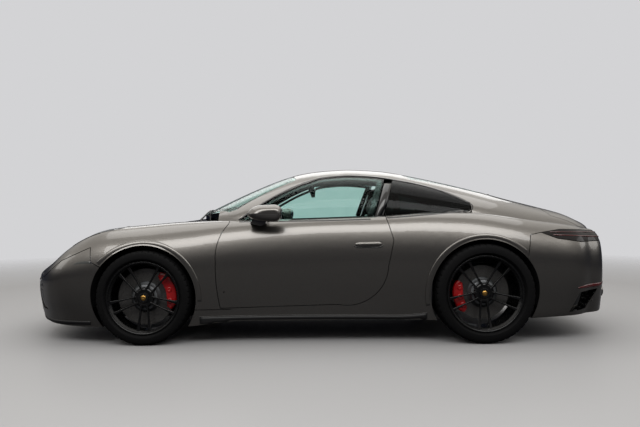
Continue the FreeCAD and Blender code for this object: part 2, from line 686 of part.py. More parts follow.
# Cowl between the luggage lid and the windscreen, with the glass's lower flange
screen_flange = less(top_rebate.cut(top_inner).common(plan_prism(screen_outline, 700, 1300, 6)),
                     [plan_prism(screen_outline, 700, 1300, -40), lower(20)]).common(
                         block((front + 200, front + 499.7), (-ALL, ALL), (700, 1100)))
cowl_strip = lower(mm.PanelThickness + 3).cut(lower(20)).common(
    block((front + 270, front + 420), (-500, 500), (700, 1100)))
add("cowl", joined([screen_flange, cowl_strip]))

# Trays behind the openings of the two bumpers
TRAY_DEPTH = 30
TRAY_SKIN = 5


def tray_between(outer_skin, mid_skin, inner_skin, opening, wide_opening):
    """A shallow tray that follows the skin behind one opening."""
    return outer_skin.cut(inner_skin).common(wide_opening).cut(outer_skin.cut(mid_skin).common(opening))


tray_mid = lower(TRAY_DEPTH - TRAY_SKIN)
tray_inner = lower(TRAY_DEPTH)
side_wide = side_prism([(nose - 60, 222), (nose + 262, 222), (nose + 262, 382), (nose + 62, 405),
                        (nose - 60, 402)], -702, -442)
wide_points = [(nose - 60, 236), (nose + 170, 236), (nose + 170, 340), (nose - 60, 355)]
middle_wide = side_prism(wide_points, -422, 422)
side_tray = biggest(tray_between(body_seat, tray_mid, tray_inner, side_intake, side_wide))
middle_tray = biggest(tray_between(body_seat, tray_mid, tray_inner, middle_intake, middle_wide))
add("front_grilles", Part.makeCompound([side_tray, mirrored(side_tray), middle_tray]))
rear_vent_tray = biggest(tray_between(body_seat, tray_mid, tray_inner, rear_vent, rear_vent_wide))
valance_tray = biggest(tray_between(body_seat, tray_mid, tray_inner, valance_opening, valance_wide))
valance_tray = less(valance_tray, tip_holes)
add("rear_grilles", Part.makeCompound([rear_vent_tray, mirrored(rear_vent_tray), biggest(valance_tray)]))

# Structure under the panels
wall = mm.WallThickness
floor_low = mm.FloorHeight
floor_high = floor_low + mm.FloorThickness
floor = joined([
    block((front + 400.3, rear - 400.3), (0.3 - sill_inner, sill_inner - 0.3), (floor_low, floor_high)),
    block((front + 425.3, rear - 400.3), (-110, -90), (floor_high, 380)),
    block((front + 425.3, rear - 400.3), (90, 110), (floor_high, 380)),
    block((front + 425.3, rear - 400.3), (-110, 110), (360, 380)),
])
sill = block((front + 520, rear - 420), (-800, 1 - sill_inner), (floor_high - 10, 256)).common(body_seat)
sill = sill.cut(block((front + 560, rear - 450), (-790, 10 - sill_inner), (floor_high + 12, 246)))
jacking_pads = [block((x, x + 70), (y, y + 60), (floor_low - 8, floor_low)) for x in (front + 560, rear - 620)
                for y in (-690, 630)]
floor = joined([floor, sill, mirrored(sill)] + jacking_pads)
add("floor", floor)

liner_radius = mm.FrontArchRadius + mm.LinerRoom
rear_liner_radius = mm.RearArchRadius + 14


def liner(x, z, radius, inner_y, lowest):
    """Half a wheel housing over a wheel, closed on its inner side."""
    arch = across(x, z, radius + mm.LinerWall, -HALF, -inner_y).cut(
        across(x, z, radius, -HALF - 1, -inner_y - mm.LinerWall))
    return arch.common(body_seat).common(block((-ALL, ALL), (-ALL, 0), (lowest, ALL)))


front_liner = liner(front, front_axle_z, liner_radius, tub_half_width + 8, 260)
front_tub = block((nose + 420, front + 330), (-tub_half_width, tub_half_width), (230, 700)).common(body_seat)
front_tub = front_tub.cut(block((nose + 440, front + 310), (-tub_half_width + wall, tub_half_width - wall),
                                (250, 900)))
bulkhead = body_seat.common(block((front + 380, front + 380 + wall), (-ALL, ALL), (floor_low, 860)))
bulkhead = bulkhead.cut(block((-ALL, ALL), (-ALL, ALL), (table_at(LOWER, front + 390)[5] - 60, ALL)))
post = body_seat.cut(lower(mm.DoorThickness + 20)).common(
    block((front + 390, front + 500), (-ALL, -650), (262, 850)))
hinge_side = joined(hinge_pins)
hood_bracket = joined([hood_pin, block((front + 390, hood_pivot_x + 12), (598, 612),
                                       (hood_pivot_z - 60, hood_pivot_z + 6)).common(lower(9))])
keep("undertray", padded("undertray", (FRONT_X + " - 298", -440, "sizes.FloorHeight - 7"),
                         (738, 880, "7 - sizes.SeatGap")))
front_structure = joined([hinge_side, mirrored(hinge_side), hood_bracket, mirrored(hood_bracket), front_tub,
                          bulkhead, front_liner, mirrored(front_liner), post, mirrored(post),
                          block((front + 330, front + 380), (-300, 300), (floor_low, 400)),
                          block((front + 400, front + 425), (-560, 560), (floor_high + 0.3, 500))])
add("front_structure", front_structure)

rear_liner = liner(rear, rear_axle_z, rear_liner_radius, 600, 260)
rear_liner = rear_liner.cut(block((rear - 130, rear + 130), (-620, 0), (0, rear_axle_z + 200)))
guide = []
for y in (-300, 300):
    foot = Vector(strut_foot.x, y, strut_foot.z)
    start = foot + lift * 2
    end = foot + lift * 120
    bore = rod(tuple(start - lift * 5), tuple(end + lift * 5), 11.3)
    guide.append(rod(tuple(start), tuple(end), 18).cut(bore))
    near = y + math.copysign(13, y)
    far = math.copysign(420, y)
    guide.append(block((foot.x - 10, foot.x + 40), (min(near, far), max(near, far)), (430, foot.z + 40)))
rear_wall = body_seat.common(block((rear - 400, rear - 380), (-ALL, ALL), (floor_low, 850)))
rear_wall = rear_wall.cut(block((-ALL, ALL), (-150, 150), (250, 560)))
shelf = block((rear - 400, rear + 150), (-590, 590), (838, 850))
lid_bracket = joined([block((lid_pivot_x - 12, lid_pivot_x + 12), (346, 360), (849, lid_pivot_z + 8)),
                      lid_pin.common(block((-ALL, ALL), (0, 350), (0, ALL)))])
rear_structure = joined([shelf, lid_bracket, mirrored(lid_bracket), rear_liner, mirrored(rear_liner),
                         rear_wall,
                         block((rear - 385, strut_foot.x + 40), (-420, -395), (380, 450)),
                         block((rear - 385, strut_foot.x + 40), (395, 420), (380, 450))] + guide)
add("rear_structure", rear_structure)


# Wheels: made for the left side, where outward is towards -y


def turned(profile, x, wheel_y, z):
    """A ring round a wheel's axle from (outward, radius) points."""
    wire = outline(profile)
    face = Part.Face(wire)
    solid = face.revolve(Vector(0, 0, 0), Vector(1, 0, 0), 360)
    solid.rotate(Vector(0, 0, 0), Vector(0, 0, 1), -90)
    solid.translate(Vector(x, -wheel_y, z))
    return solid


def rim_half_width(tyre_width):
    return tyre_width * 0.44


def tyre(x, wheel_y, z, diameter, width, rim_diameter):
    r = diameter / 2
    w = width / 2
    foot = rim_half_width(width) - 9
    seat = rim_diameter / 2 + mm.SeatGap
    bead = seat + 10
    side = (r + bead) / 2 - 8
    return turned([(-foot, seat), (-foot, bead), ((-w, side), (-w * 0.86, r - 10)),
                   ((-w * 0.5, r - 1.5), (0, r)), ((w * 0.5, r - 1.5), (w * 0.86, r - 10)),
                   ((w, side), (foot, bead)), (foot, seat),
                   (foot - 16, seat), (foot - 12, r - 24), (12 - foot, r - 24), (16 - foot, seat)],
                  x, wheel_y, z)


def rim(x, wheel_y, z, rim_diameter, width, face, hub):
    seat = rim_diameter / 2
    w = rim_half_width(width)
    barrel = turned([(-w, seat), (-w, seat + 8), (-w + 5, seat + 8), (-w + 8, seat), (-w + 30, seat - 4),
                     (w - 30, seat - 4), (w - 8, seat), (w - 5, seat + 8), (w, seat + 8), (w, seat - 10),
                     (w - 40, seat - 14), (-w + 30, seat - 12), (-w, seat - 8)], x, wheel_y, z)
    centre = turned([(hub, 0), (hub, mm.HubRadius), (hub + 14, mm.HubRadius - 4), (hub + 18, 38),
                     (hub + 34, 34), (hub + 38, 0)], x, wheel_y, z)
    pieces = [barrel, centre]
    for pair in range(5):
        for lean in (-1, 1):
            corners = [(hub + 2, 40), (face - 22, seat - 8), (face, seat - 8), (hub + 14, 40), (hub + 2, 40)]
            spoke = Part.makePolygon([Vector(out, radius, 0) for out, radius in corners])
            spoke = Part.Face(spoke).extrude(Vector(0, 0, 16))
            spoke.translate(Vector(0, 0, lean * 22 - 8))
            spoke.rotate(Vector(0, 0, 0), Vector(1, 0, 0), lean * 5 - 90 + 72 * pair)
            spoke.rotate(Vector(0, 0, 0), Vector(0, 0, 1), -90)
            spoke.translate(Vector(x, -wheel_y, z))
            pieces.append(spoke)
    return joined(pieces)


def disc(end, hub):
    """A brake disc with its hat, for one end's left wheel; hub is how far outward the hat's face is."""
    axle_x = "sizes.%sAxleX" % end
    axle_z = "sizes.%sAxleZ" % end
    face = "-sizes.%sTrack / 2 - %g" % (end, hub)

    def drum(part, start, radius, height):
        return solid("Cylinder", end + "_" + part, (axle_x, "%s + %g" % (face, start), axle_z), (0, 1, 0),
                     Radius=radius, Height=height)
    ring_start = 82 - mm.DiscThickness
    solid_parts = fused(end + "_disc_body", [
        drum("disc_ring", ring_start, "sizes.%sDiscDiameter / 2" % end, "sizes.DiscThickness"),
        drum("disc_hat", mm.SeatGap, 92, ring_start + 10)])
    hollow = fused(end + "_disc_hollow", [
        drum("hat_hollow", 12, 82, 200), drum("hat_bore", -20, 20, 60)])
    return cut(end + "_disc", solid_parts, hollow)


def caliper(x, wheel_y, z, diameter, hub, side, rise):
    """A brake caliper over one edge of a disc, on its rear (1) or front (-1) side, raised by rise."""
    r = diameter / 2
    inboard = hub - 82
    low = inboard - 34
    high = inboard + mm.DiscThickness + 30
    body = turned([(low, r - 62), (low, r + 22), (high, r + 22), (high, r - 62)], x, wheel_y, z)
    slot = turned([(inboard - 6, 0), (inboard - 6, r + 6), (inboard + mm.DiscThickness + 6, r + 6),
                   (inboard + mm.DiscThickness + 6, 0)], x, wheel_y, z)
    heights = (z + rise - 115, z + rise + 115)
    reach = block((x + 20, x + 300), (-ALL, ALL), heights)
    if side < 0:
        reach = block((x - 300, x - 20), (-ALL, ALL), heights)
    return body.cut(slot).common(reach)


# How far outward of the wheel's centre plane each hub face stands
FRONT_HUB = 50
REAR_HUB = 62

AXLES = [
    # name, x, wheel y, wheel z, tyre diameter, tyre width, rim diameter, hub outward, spoke face
    ("front", front, front_wheel_y, front_axle_z, mm.FrontTyreDiameter, mm.FrontTyreWidth,
     mm.FrontRimDiameter, FRONT_HUB, 84),
    ("rear", rear, rear_wheel_y, rear_axle_z, mm.RearTyreDiameter, mm.RearTyreWidth,
     mm.RearRimDiameter, REAR_HUB, 108),
]
for name, x, wheel_y, z, tyre_d, tyre_w, rim_d, hub, face in AXLES:
    add_pair("tyre_" + name, tyre(x, wheel_y, z, tyre_d, tyre_w, rim_d))
    add_pair("rim_" + name, rim(x, wheel_y, z, rim_d, tyre_w, face, hub))

for end, hub in (("Front", FRONT_HUB), ("Rear", REAR_HUB)):
    left_disc = disc(end, hub)
    keep("disc_%s_left" % end.lower(), left_disc)
    keep("disc_%s_right" % end.lower(), mirror_of(end + "_disc_mirror", left_disc))

# Knuckles, hub carriers and suspension
ball_low = front_axle_z - 140
ball_high = front_axle_z + 175
hub_face = front_wheel_y + FRONT_HUB
knuckle = joined([
    across(front, front_axle_z, 52, -front_wheel_y + 34, -kingpin_y + 25),
    across(front, front_axle_z, 18, -hub_face + 0.6, -front_wheel_y + 40),
    rod((front, -kingpin_y + 2, ball_low + 10.5), (front, -kingpin_y + 2, ball_high - 8.5), 20),
    block((front + 25, front + 175), (-front_wheel_y + 66.3, -kingpin_y + 17),
          (front_axle_z - 45, front_axle_z + 57)),
])
front_caliper = caliper(front, front_wheel_y, front_axle_z, mm.FrontDiscDiameter, FRONT_HUB, 1, 40)
add_pair("knuckle", knuckle)
add_pair("caliper_front", front_caliper)

front_arm = joined([
    rod((front - 130, -330, 190), (front, -kingpin_y, ball_low - 10), 15),
    rod((front + 150, -330, 190), (front, -kingpin_y, ball_low - 10), 15),
    Part.makeSphere(20, Vector(front, -kingpin_y, ball_low - 10)),
    rod((front, -kingpin_y, ball_low - 34), (front, -kingpin_y, ball_low + 10.2), 14),
    rod((front - 60, -tub_half_width - 24, ball_high + 12), (front, -kingpin_y, ball_high + 12), 11),
    rod((front + 60, -tub_half_width - 24, ball_high + 12), (front, -kingpin_y, ball_high + 12), 11),
    block((front - 76, front + 76), (-tub_half_width - 32, -tub_half_width - 12.3),
          (ball_high, ball_high + 24)),
    Part.makeSphere(18, Vector(front, -kingpin_y, ball_high + 10)),
])
subframe = joined([block((front - 150, front - 110), (-345, 345), (170, 215)),
                   block((front + 130, front + 170), (-345, 345), (170, 215)),
                   block((front - 150, front + 170), (-345, -300), (170, 215)),
                   block((front - 150, front + 170), (300, 345), (170, 215)),
                   block((front - 140, front - 100), (-345, 345), (200, 229.7)),
                   block((front + 130, front + 170), (-345, 345), (200, 229.7))])
add("front_suspension", joined([subframe, front_arm, mirrored(front_arm)]))

rear_hub_face = rear_wheel_y + REAR_HUB
carrier = joined([
    across(rear, rear_axle_z, 60, -rear_wheel_y + 30, -rear_wheel_y + 110),
    across(rear, rear_axle_z, 18, -rear_hub_face + 0.6, -rear_wheel_y + 40),
    block((rear - 24, rear + 24), (-rear_wheel_y + 61, -rear_wheel_y + 98),
          (rear_axle_z - 128, rear_axle_z + 140)),
    block((rear - 165, rear - 20), (-rear_wheel_y + 54.3, -rear_wheel_y + 90),
          (rear_axle_z - 58, rear_axle_z + 58)),
])
rear_caliper = caliper(rear, rear_wheel_y, rear_axle_z, mm.RearDiscDiameter, REAR_HUB, -1, -35)
add("rear_hub_carriers", Part.makeCompound([carrier, mirrored(carrier)]))
add("rear_calipers", Part.makeCompound([rear_caliper, mirrored(rear_caliper)]))
rear_arm = joined([
    rod((rear - 160, -400, 230), (rear, -rear_wheel_y + 80, rear_axle_z - 150), 16),
    rod((rear + 160, -400, 230), (rear, -rear_wheel_y + 80, rear_axle_z - 150), 16),
    rod((rear, -436, 430), (rear, -rear_wheel_y + 80, rear_axle_z + 160), 13),
    block((rear - 20, rear + 20), (-440, -420.3), (405, 450)),
    rod((rear, -140.3, rear_axle_z), (rear, -rear_wheel_y + 110.3, rear_axle_z), 20),
])
rear_frame = joined([block((rear - 180, rear - 140), (-420, 420), (210, 250)),
                     block((rear + 140, rear + 180), (-420, 420), (210, 250)),
                     block((rear - 180, rear + 180), (-420, -380), (210, 250)),
                     block((rear - 180, rear + 180), (380, 420), (210, 250))]
                    + [block((x, x + 30), (y, y + 25), (245, 379.7)) for x in (rear - 175, rear + 145)
                       for y in (-420, 395)])
add("rear_suspension", Part.makeCompound(joined([rear_frame, rear_arm, mirrored(rear_arm)]).Solids))

keep("engine", fused("engine", [
    box("engine_block", (REAR_X + " + 190", 510), (-330, 660), (215, 425)),
    box("gearbox", (REAR_X + " - 370", 570), (-140, 280), (260, 260))]))
tip_pipes = []
tip_bores = []
for number, y in enumerate(TIP_PLACES):
    pipe_start = ("sizes.TailX - 260", y, TIP_HEIGHT)
    bore_start = ("sizes.TailX - 180", y, TIP_HEIGHT)
    tip_pipes.append(solid("Cylinder", "tip_pipe_%d" % number, pipe_start, (1, 0, 0), Radius=42, Height=248))
    tip_bores.append(solid("Cylinder", "tip_bore_%d" % number, bore_start, (1, 0, 0), Radius=36, Height=200))
silencer = box("silencer", ("sizes.TailX - 330", 130), (-520, 1040), (230, 140))
feed_start = REAR_X + " + 700 + sizes.SeatGap"
feed_pipes = [solid("Cylinder", "feed_pipe_%d" % number, (feed_start, y, 300), (1, 0, 0), Radius=30,
                    Height="sizes.TailX - 325 - (%s)" % feed_start) for number, y in enumerate((-200, 200))]
exhaust_body = fused("exhaust_body", [silencer] + tip_pipes + feed_pipes)
keep("exhaust", cut("exhaust", exhaust_body, fused("tip_bores", tip_bores)))

# Cabin
CUSHION = [(-300, 290), (270, 290), (270, 400), (0, 405), ((-150, 432), (-290, 425))]
BACK = [(180, 330), (330, 330), (395, 560), (500, 900), ((480, 955), (420, 950)), (340, 700)]
HEADREST = [(425, 930), (510, 925), ((545, 1010), (540, 1085)), ((505, 1105), (470, 1090))]
BOLSTER = [(-280, 400), (260, 390), (240, 470), ((0, 475), (-270, 455))]
WING = [(190, 400), (300, 400), (440, 860), (390, 870), ((255, 640), (190, 400))]
seats = []
for y in (-365, 365):
    cushion = side_prism(CUSHION, y - 235, y + 235)
    back = side_prism(BACK, y - 235, y + 235)
    head = side_prism(HEADREST, y - 125, y + 125)
    bolsters = [side_prism(BOLSTER, y + low, y + low + 70) for low in (-250, 180)]
    wings = [side_prism(WING, y + low, y + low + 60) for low in (-250, 190)]
    rail = block((-250, 200), (y - 200, y + 200), (floor_high + mm.SeatGap, 290))
    seats.append(joined([cushion, back, head, rail] + bolsters + wings))
add("front_seats", Part.makeCompound(seats))
bench = joined([block((rear - 630, rear - 400.3), (-520, 520), (380.3, 500)),
                side_prism([(rear - 470, 500), (rear - 400.3, 500), (rear - 400.3, 849), (rear - 440, 849)],
                           -520, 520)])
add("rear_bench", bench)
dash = side_prism([(front + 400.3, 560), (front + 760, 560), (front + 830, 740), (front + 800, 830),
                   (front + 560, 870), (front + 400.3, 860)], -ALL, ALL).common(lower(mm.DoorThickness + 24))
console = block((front + 700, rear - 760), (-95, 95), (380.3, 570))
wheel_centre = Vector(front + 1010, -365, 790)
COLUMN_RADIUS = 22
COLUMN_LENGTH = 216
ring = Part.makeTorus(180, 15, wheel_centre, Vector(1, 0, 0.42))
column = Part.makeCylinder(COLUMN_RADIUS, COLUMN_LENGTH, wheel_centre, Vector(-1, 0, -0.42))
column_bore = Part.makeCylinder(COLUMN_RADIUS + mm.SeatGap, COLUMN_LENGTH + mm.SeatGap, wheel_centre,
                                Vector(-1, 0, -0.42))
add("dashboard", joined([dash, console]).cut(column_bore))
spokes = [Part.makeCylinder(12, 180, wheel_centre, Vector(0, 1, 0)),
          Part.makeCylinder(12, 180, wheel_centre, Vector(0, -1, 0)),
          Part.makeCylinder(12, 180, wheel_centre, Vector(0.42, 0, -1))]
add("steering_wheel", joined([ring, column] + spokes))

# Door mirrors
# y, front x, rear x, low z, high z of each section of the housing
MIRROR = [(-838, -440, -330, 912, 962), (-862, -486, -306, 894, 984), (-905, -508, -286, 884, 999),
          (-955, -502, -280, 886, 998), (-988, -470, -284, 898, 982), (-1000, -430, -300, 916, 960)]
sections = []
for y, x_front, x_rear, z_low, z_high in MIRROR:
    z_middle = (z_low + z_high) / 2
    x_middle = (x_front + x_rear) / 2
    curve = Part.BSplineCurve()
    x_quarter = (x_front + x_middle) / 2
    ring_points = [(x_front, z_middle + 4), (x_quarter, z_high - 9), (x_middle + 30, z_high),
                   (x_rear, z_high - 12), (x_rear, z_low + 12), (x_middle + 20, z_low),
                   (x_quarter, z_low + 10)]
    curve.interpolate([Vector(x, y, z) for x, z in ring_points], True)
    sections.append(Part.Wire([curve.toShape()]))
mirror = Part.makeLoft(sections, True)
foot = side_prism([(-500, 870), (-420, 850), (-385, 866), (-372, 925), (-440, 925)], -900, -770).cut(
    lower(-mm.SeatGap))
add_pair("mirror", joined([mirror, foot]))

os.makedirs("parts", exist_ok=True)
doc.recompute()
for item in doc.Objects:
    if "Invalid" in item.State or "Error" in item.State:
        raise RuntimeError(item.Name + " failed")
for name, piece in parts.items():
    shape = piece.Shape
    if shape.isNull() or not shape.isValid() or not shape.Solids:
        raise RuntimeError(name + " is not a valid solid")
for name, piece in parts.items():
    piece.Shape.exportStep("parts/%s.step" % name)
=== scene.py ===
"""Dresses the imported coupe: finishes on its panels, and the detail pieces that ride on its bodies."""
import json
import math

import bmesh
import bpy
from mathutils import Matrix, Vector
from mathutils.bvhtree import BVHTree
from types import SimpleNamespace


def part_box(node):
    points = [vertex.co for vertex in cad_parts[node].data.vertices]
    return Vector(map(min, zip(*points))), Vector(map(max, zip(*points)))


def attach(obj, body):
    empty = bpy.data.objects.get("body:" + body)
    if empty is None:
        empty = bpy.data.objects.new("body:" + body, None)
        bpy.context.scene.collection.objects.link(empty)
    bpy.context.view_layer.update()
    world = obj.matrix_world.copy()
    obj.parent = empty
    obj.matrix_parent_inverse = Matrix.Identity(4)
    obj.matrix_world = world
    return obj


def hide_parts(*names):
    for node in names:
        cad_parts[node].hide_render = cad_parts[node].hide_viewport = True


bl_info = {
    "name": "Coupe dressing",
    "version": (1, 0, 0),
    "blender": (4, 5, 0),
    "location": "View3D > Sidebar > Coupe",
    "description": "Finishes and detail pieces for a two-door coupe",
    "category": "Object",
}

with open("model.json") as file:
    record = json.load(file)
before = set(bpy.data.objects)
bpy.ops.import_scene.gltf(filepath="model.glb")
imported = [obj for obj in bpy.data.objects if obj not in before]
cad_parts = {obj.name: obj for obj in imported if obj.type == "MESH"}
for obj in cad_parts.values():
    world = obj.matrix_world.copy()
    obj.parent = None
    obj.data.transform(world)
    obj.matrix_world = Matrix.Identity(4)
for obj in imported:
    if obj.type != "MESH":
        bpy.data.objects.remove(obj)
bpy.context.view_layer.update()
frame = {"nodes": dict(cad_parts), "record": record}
NODES = frame["nodes"]
LEFT, RIGHT = -1, 1
SIDES = ((LEFT, "left"), (RIGHT, "right"))
AXLES = ("front", "rear")


def linear(code):
    """Linear RGB of an sRGB hex code."""
    channels = [int(code[i:i + 2], 16) / 255 for i in (1, 3, 5)]
    return tuple(c / 12.92 if c <= 0.04045 else ((c + 0.055) / 1.055) ** 2.4 for c in channels)


def rgba(code):
    return (*linear(code), 1.0)


def paint_colour(name, code, description):
    return bpy.props.FloatVectorProperty(name=name, description=description, subtype="COLOR", size=3,
                                         min=0.0, max=1.0, default=linear(code))


class CoupeFinishes(bpy.types.PropertyGroup):
    """Colours that an owner could choose."""
    body: paint_colour("Body", "#6d6a66", "Metallic body paint")
    wheel: paint_colour("Wheels", "#0b0b0c", "Wheel enamel")
    caliper: paint_colour("Calipers", "#a80d10", "Brake caliper enamel")
    leather: paint_colour("Leather", "#1b1a1c", "Seats and steering wheel")


class CoupeStage(bpy.types.PropertyGroup):
    """Camera and light."""
    distance: bpy.props.FloatProperty(name="Camera distance", description="Camera to the car's centre plane",
                                      default=5.34, unit="LENGTH")
    height: bpy.props.FloatProperty(name="Camera height", description="Camera above the floor",
                                    default=0.92, unit="LENGTH")
    lens: bpy.props.FloatProperty(name="Lens", description="Focal length in millimetres", default=35.0)
    roll: bpy.props.FloatProperty(name="Roll", description="Camera roll", default=math.radians(0.35),
                                  subtype="ANGLE")


# Materials

MADE = {}


def add_node(material, kind, inputs=None, **settings):
    """A shader node with its settings; an input is a value or another node's socket."""
    node = material.node_tree.nodes.new(kind)
    for key, value in settings.items():
        setattr(node, key, value)
    for key, value in (inputs or {}).items():
        if isinstance(value, bpy.types.NodeSocket):
            material.node_tree.links.new(value, node.inputs[key])
        else:
            node.inputs[key].default_value = value
    return node


def finish(name, build):
    """The named material, made once."""
    if name not in MADE:
        material = bpy.data.materials.new(name)
        material.use_nodes = True
        material.node_tree.nodes.clear()
        shader = build(material)
        add_node(material, "ShaderNodeOutputMaterial", {"Surface": shader})
        MADE[name] = material
    return MADE[name]


def surface(material, colour, roughness, metallic=0.0, **inputs):
    """A Principled surface; keyword names stand for its sockets, with _ for a space."""
    sockets = {"Base Color": colour, "Roughness": roughness, "Metallic": metallic}
    sockets.update({key.replace("_", " "): value for key, value in inputs.items()})
    return add_node(material, "ShaderNodeBsdfPrincipled", sockets).outputs["BSDF"]


def grain(material, size_mm, detail=3.0, roughness=0.6):
    """Fine noise whose features are about size_mm across."""
    place = add_node(material, "ShaderNodeTexCoord")
    return add_node(material, "ShaderNodeTexNoise", {"Vector": place.outputs["Object"], "Scale": 1000 / size_mm,
                                                     "Detail": detail, "Roughness": roughness}).outputs["Fac"]


MIX_LOW, MIX_HIGH, MIX_RESULT = 6, 7, 2  # the Mix node's colour sockets, which share their names with others


def between(material, fac, low, high, start=0.3, end=0.7):
    """Blends two values or colours by a noise."""
    colours = isinstance(low, tuple)
    ramp = add_node(material, "ShaderNodeMapRange", {"Value": fac, "From Min": start, "From Max": end,
                                                     "To Min": 0.0 if colours else low,
                                                     "To Max": 1.0 if colours else high}).outputs["Result"]
    if not colours:
        return ramp
    return add_node(material, "ShaderNodeMix", {"Factor": ramp, MIX_LOW: low, MIX_HIGH: high},
                    data_type="RGBA").outputs[MIX_RESULT]


def bump(material, height, distance_mm, strength=0.5):
    return add_node(material, "ShaderNodeBump", {"Height": height, "Strength": strength,
                                                 "Distance": distance_mm / 1000}).outputs["Normal"]


def glancing(material, least, rise):
    """How much a thin pane mirrors: little face on, much along its surface."""
    facing = add_node(material, "ShaderNodeLayerWeight", {"Blend": 0.5}).outputs["Facing"]
    steep = add_node(material, "ShaderNodeMath", {0: facing, 1: 5.0}, operation="POWER").outputs["Value"]
    return add_node(material, "ShaderNodeMath", {0: steep, 1: rise, 2: least},
                    operation="MULTIPLY_ADD").outputs["Value"]


def shade(colour, factor):
    return tuple(min(channel * factor, 1.0) for channel in colour[:3]) + (1.0,)


def chosen(name):
    """A colour that the owner picks in the panel."""
    return tuple(getattr(bpy.context.scene.coupe_finishes, name)) + (1.0,)


def grained(name, size_mm, low, high, roughness, metallic=0.0, relief=None, detail=3.0, **inputs):
    """A surface that wanders between two colours over size_mm, and between two roughnesses if it has a pair;
    relief is its bump's height in mm and strength."""
    def build(material):
        noise = grain(material, size_mm, detail)
        colour = between(material, noise, *(end if isinstance(end, tuple) else rgba(end) for end in (low, high)))
        rough = between(material, noise, *roughness) if isinstance(roughness, tuple) else roughness
        if relief:
            inputs["Normal"] = bump(material, noise, *relief)
        return surface(material, colour, rough, metallic, **inputs)
    return finish(name, build)


def metallic_clear_coat():
    """Acrylic enamel sprayed with aluminium flake under clear lacquer: grey that is bright where it
    faces the light and nearly black where it faces the floor, with a faint sparkle."""
    body = chosen("body")  # real flake is 0.03 mm, drawn coarser so it shows
    return grained("metallic_clear_coat", 1.6, shade(body, 0.9), shade(body, 1.12), (0.27, 0.34), 0.9, detail=1.0,
                   Coat_Weight=1.0, Coat_Roughness=0.02, Coat_IOR=1.5)


def gloss_black_enamel():
    """Stoved black enamel on cast aluminium: deep black with a sharp lacquer shine."""
    body = chosen("wheel")
    return grained("gloss_black_enamel", 25, shade(body, 0.8), shade(body, 1.3), (0.22, 0.3), Coat_Weight=0.25,
                   Coat_Roughness=0.04, Specular_IOR_Level=0.3)


def caliper_enamel():
    """Baked red enamel on cast aluminium, glossy with a slight orange peel."""
    body = chosen("caliper")
    return grained("caliper_enamel", 3, shade(body, 0.88), body, 0.3, relief=(0.15, 0.25), Coat_Weight=0.6,
                   Coat_Roughness=0.08)


def clear_sheet(name, size_mm, low, high, roughness, least, rise):
    """A clear pane or lens: light goes through it, tinted, and it mirrors by how much it slants."""
    def build(material):
        clear = add_node(material, "ShaderNodeBsdfTransparent",
                         {"Color": between(material, grain(material, size_mm), rgba(low), rgba(high))})
        glint = add_node(material, "ShaderNodeBsdfGlossy", {"Color": (1, 1, 1, 1), "Roughness": roughness})
        return add_node(material, "ShaderNodeMixShader", {0: glancing(material, least, rise), 1: clear.outputs["BSDF"],
                                                          2: glint.outputs["BSDF"]}).outputs["Shader"]
    return finish(name, build)


def tinted_glass():
    """Toughened float glass, faintly green, clear to look through."""
    return clear_sheet("tinted_glass", 220, "#e6f4f1", "#eaf7f4", 0.01, 0.006, 0.7)


def privacy_glass():
    """Toughened glass with a dark grey tint that is painted shade: it stands in for the shaded cabin behind it, which
    is only guessed at.
    """
    return clear_sheet("privacy_glass", 220, "#7d8887", "#838e8d", 0.01, 0.01, 0.7)


def clear_polycarbonate():
    """Moulded clear polycarbonate lens with a hard coat."""
    return clear_sheet("clear_polycarbonate", 120, "#e6ebee", "#eef2f4", 0.02, 0.02, 0.8)


def red_acrylic():
    """Moulded red acrylic lens, dark and glossy while its lamps are off."""
    return grained("red_acrylic", 9, "#3a0507", "#5c080b", 0.12, Coat_Weight=1.0, Coat_Roughness=0.02)


def smoked_acrylic():
    """Moulded smoked acrylic: black and glossy until its lamps are lit."""
    return grained("smoked_acrylic", 40, "#080506", "#0d0708", (0.10, 0.14), Specular_IOR_Level=0.3)


def fired_black_enamel():
    """Black ceramic enamel fired on to the inside of the glass: deep black and half gloss. On the door glass's top edge
    it is painted shade instead.
    """
    return grained("fired_black_enamel", 30, "#060607", "#0b0b0c", (0.22, 0.34))


def satin_chrome():
    """Vacuum-plated reflector: bright, a little soft."""
    return grained("satin_chrome", 12, "#b4b6ba", "#cdced2", (0.12, 0.22), 1.0)


def knitted_lining():
    """Knitted headlining over foam: near black, matt, with a fine even loop."""
    return grained("knitted_headlining", 1.6, "#0d0d0e", "#1a1a1b", 0.95, relief=(0.4, 0.5), detail=2.0,
                   Specular_IOR_Level=0.0)


def woven_belt():
    """Polyester belt webbing, woven in a fine diagonal: dark, with a silky sheen."""
    def build(material):
        place = add_node(material, "ShaderNodeTexCoord")
        ribs = add_node(material, "ShaderNodeTexWave", {"Vector": place.outputs["Object"], "Scale": 1000 / 9,
                                                        "Distortion": 0.4}, bands_direction="DIAGONAL").outputs["Fac"]
        return surface(material, between(material, ribs, rgba("#121214"), rgba("#232326")), 0.55,
                       Sheen_Weight=0.3, Normal=bump(material, ribs, 0.3, 0.5))
    return finish("woven_polyester_webbing", build)


def mirror_glass():
    """Silvered glass: a clean reflection with a trace of blue."""
    return grained("silvered_glass", 60, "#b9c2c9", "#c6ced4", (0.02, 0.05), 1.0)


def anodised_black():
    """Black anodised aluminium, satin, brighter at its edges."""
    return grained("anodised_black", 8, "#161617", "#232324", (0.3, 0.42), 0.6)


def plated_brass():
    """Pressed brass cap, plated and lacquered to a warm gold."""
    return grained("plated_brass", 5, "#b98a45", "#d6ab62", (0.22, 0.34), 1.0)


def tyre_rubber():
    """Moulded carbon-black rubber: matt, faintly brown-grey where it has scuffed."""
    def build(material):
        scuff = grain(material, 14)
        return surface(material, between(material, scuff, rgba("#070708"), rgba("#0c0c0d")),
                       between(material, scuff, 0.62, 0.8), Specular_IOR_Level=0.12,
                       Normal=bump(material, grain(material, 1.2), 0.2, 0.35))
    return finish("tyre_rubber", build)


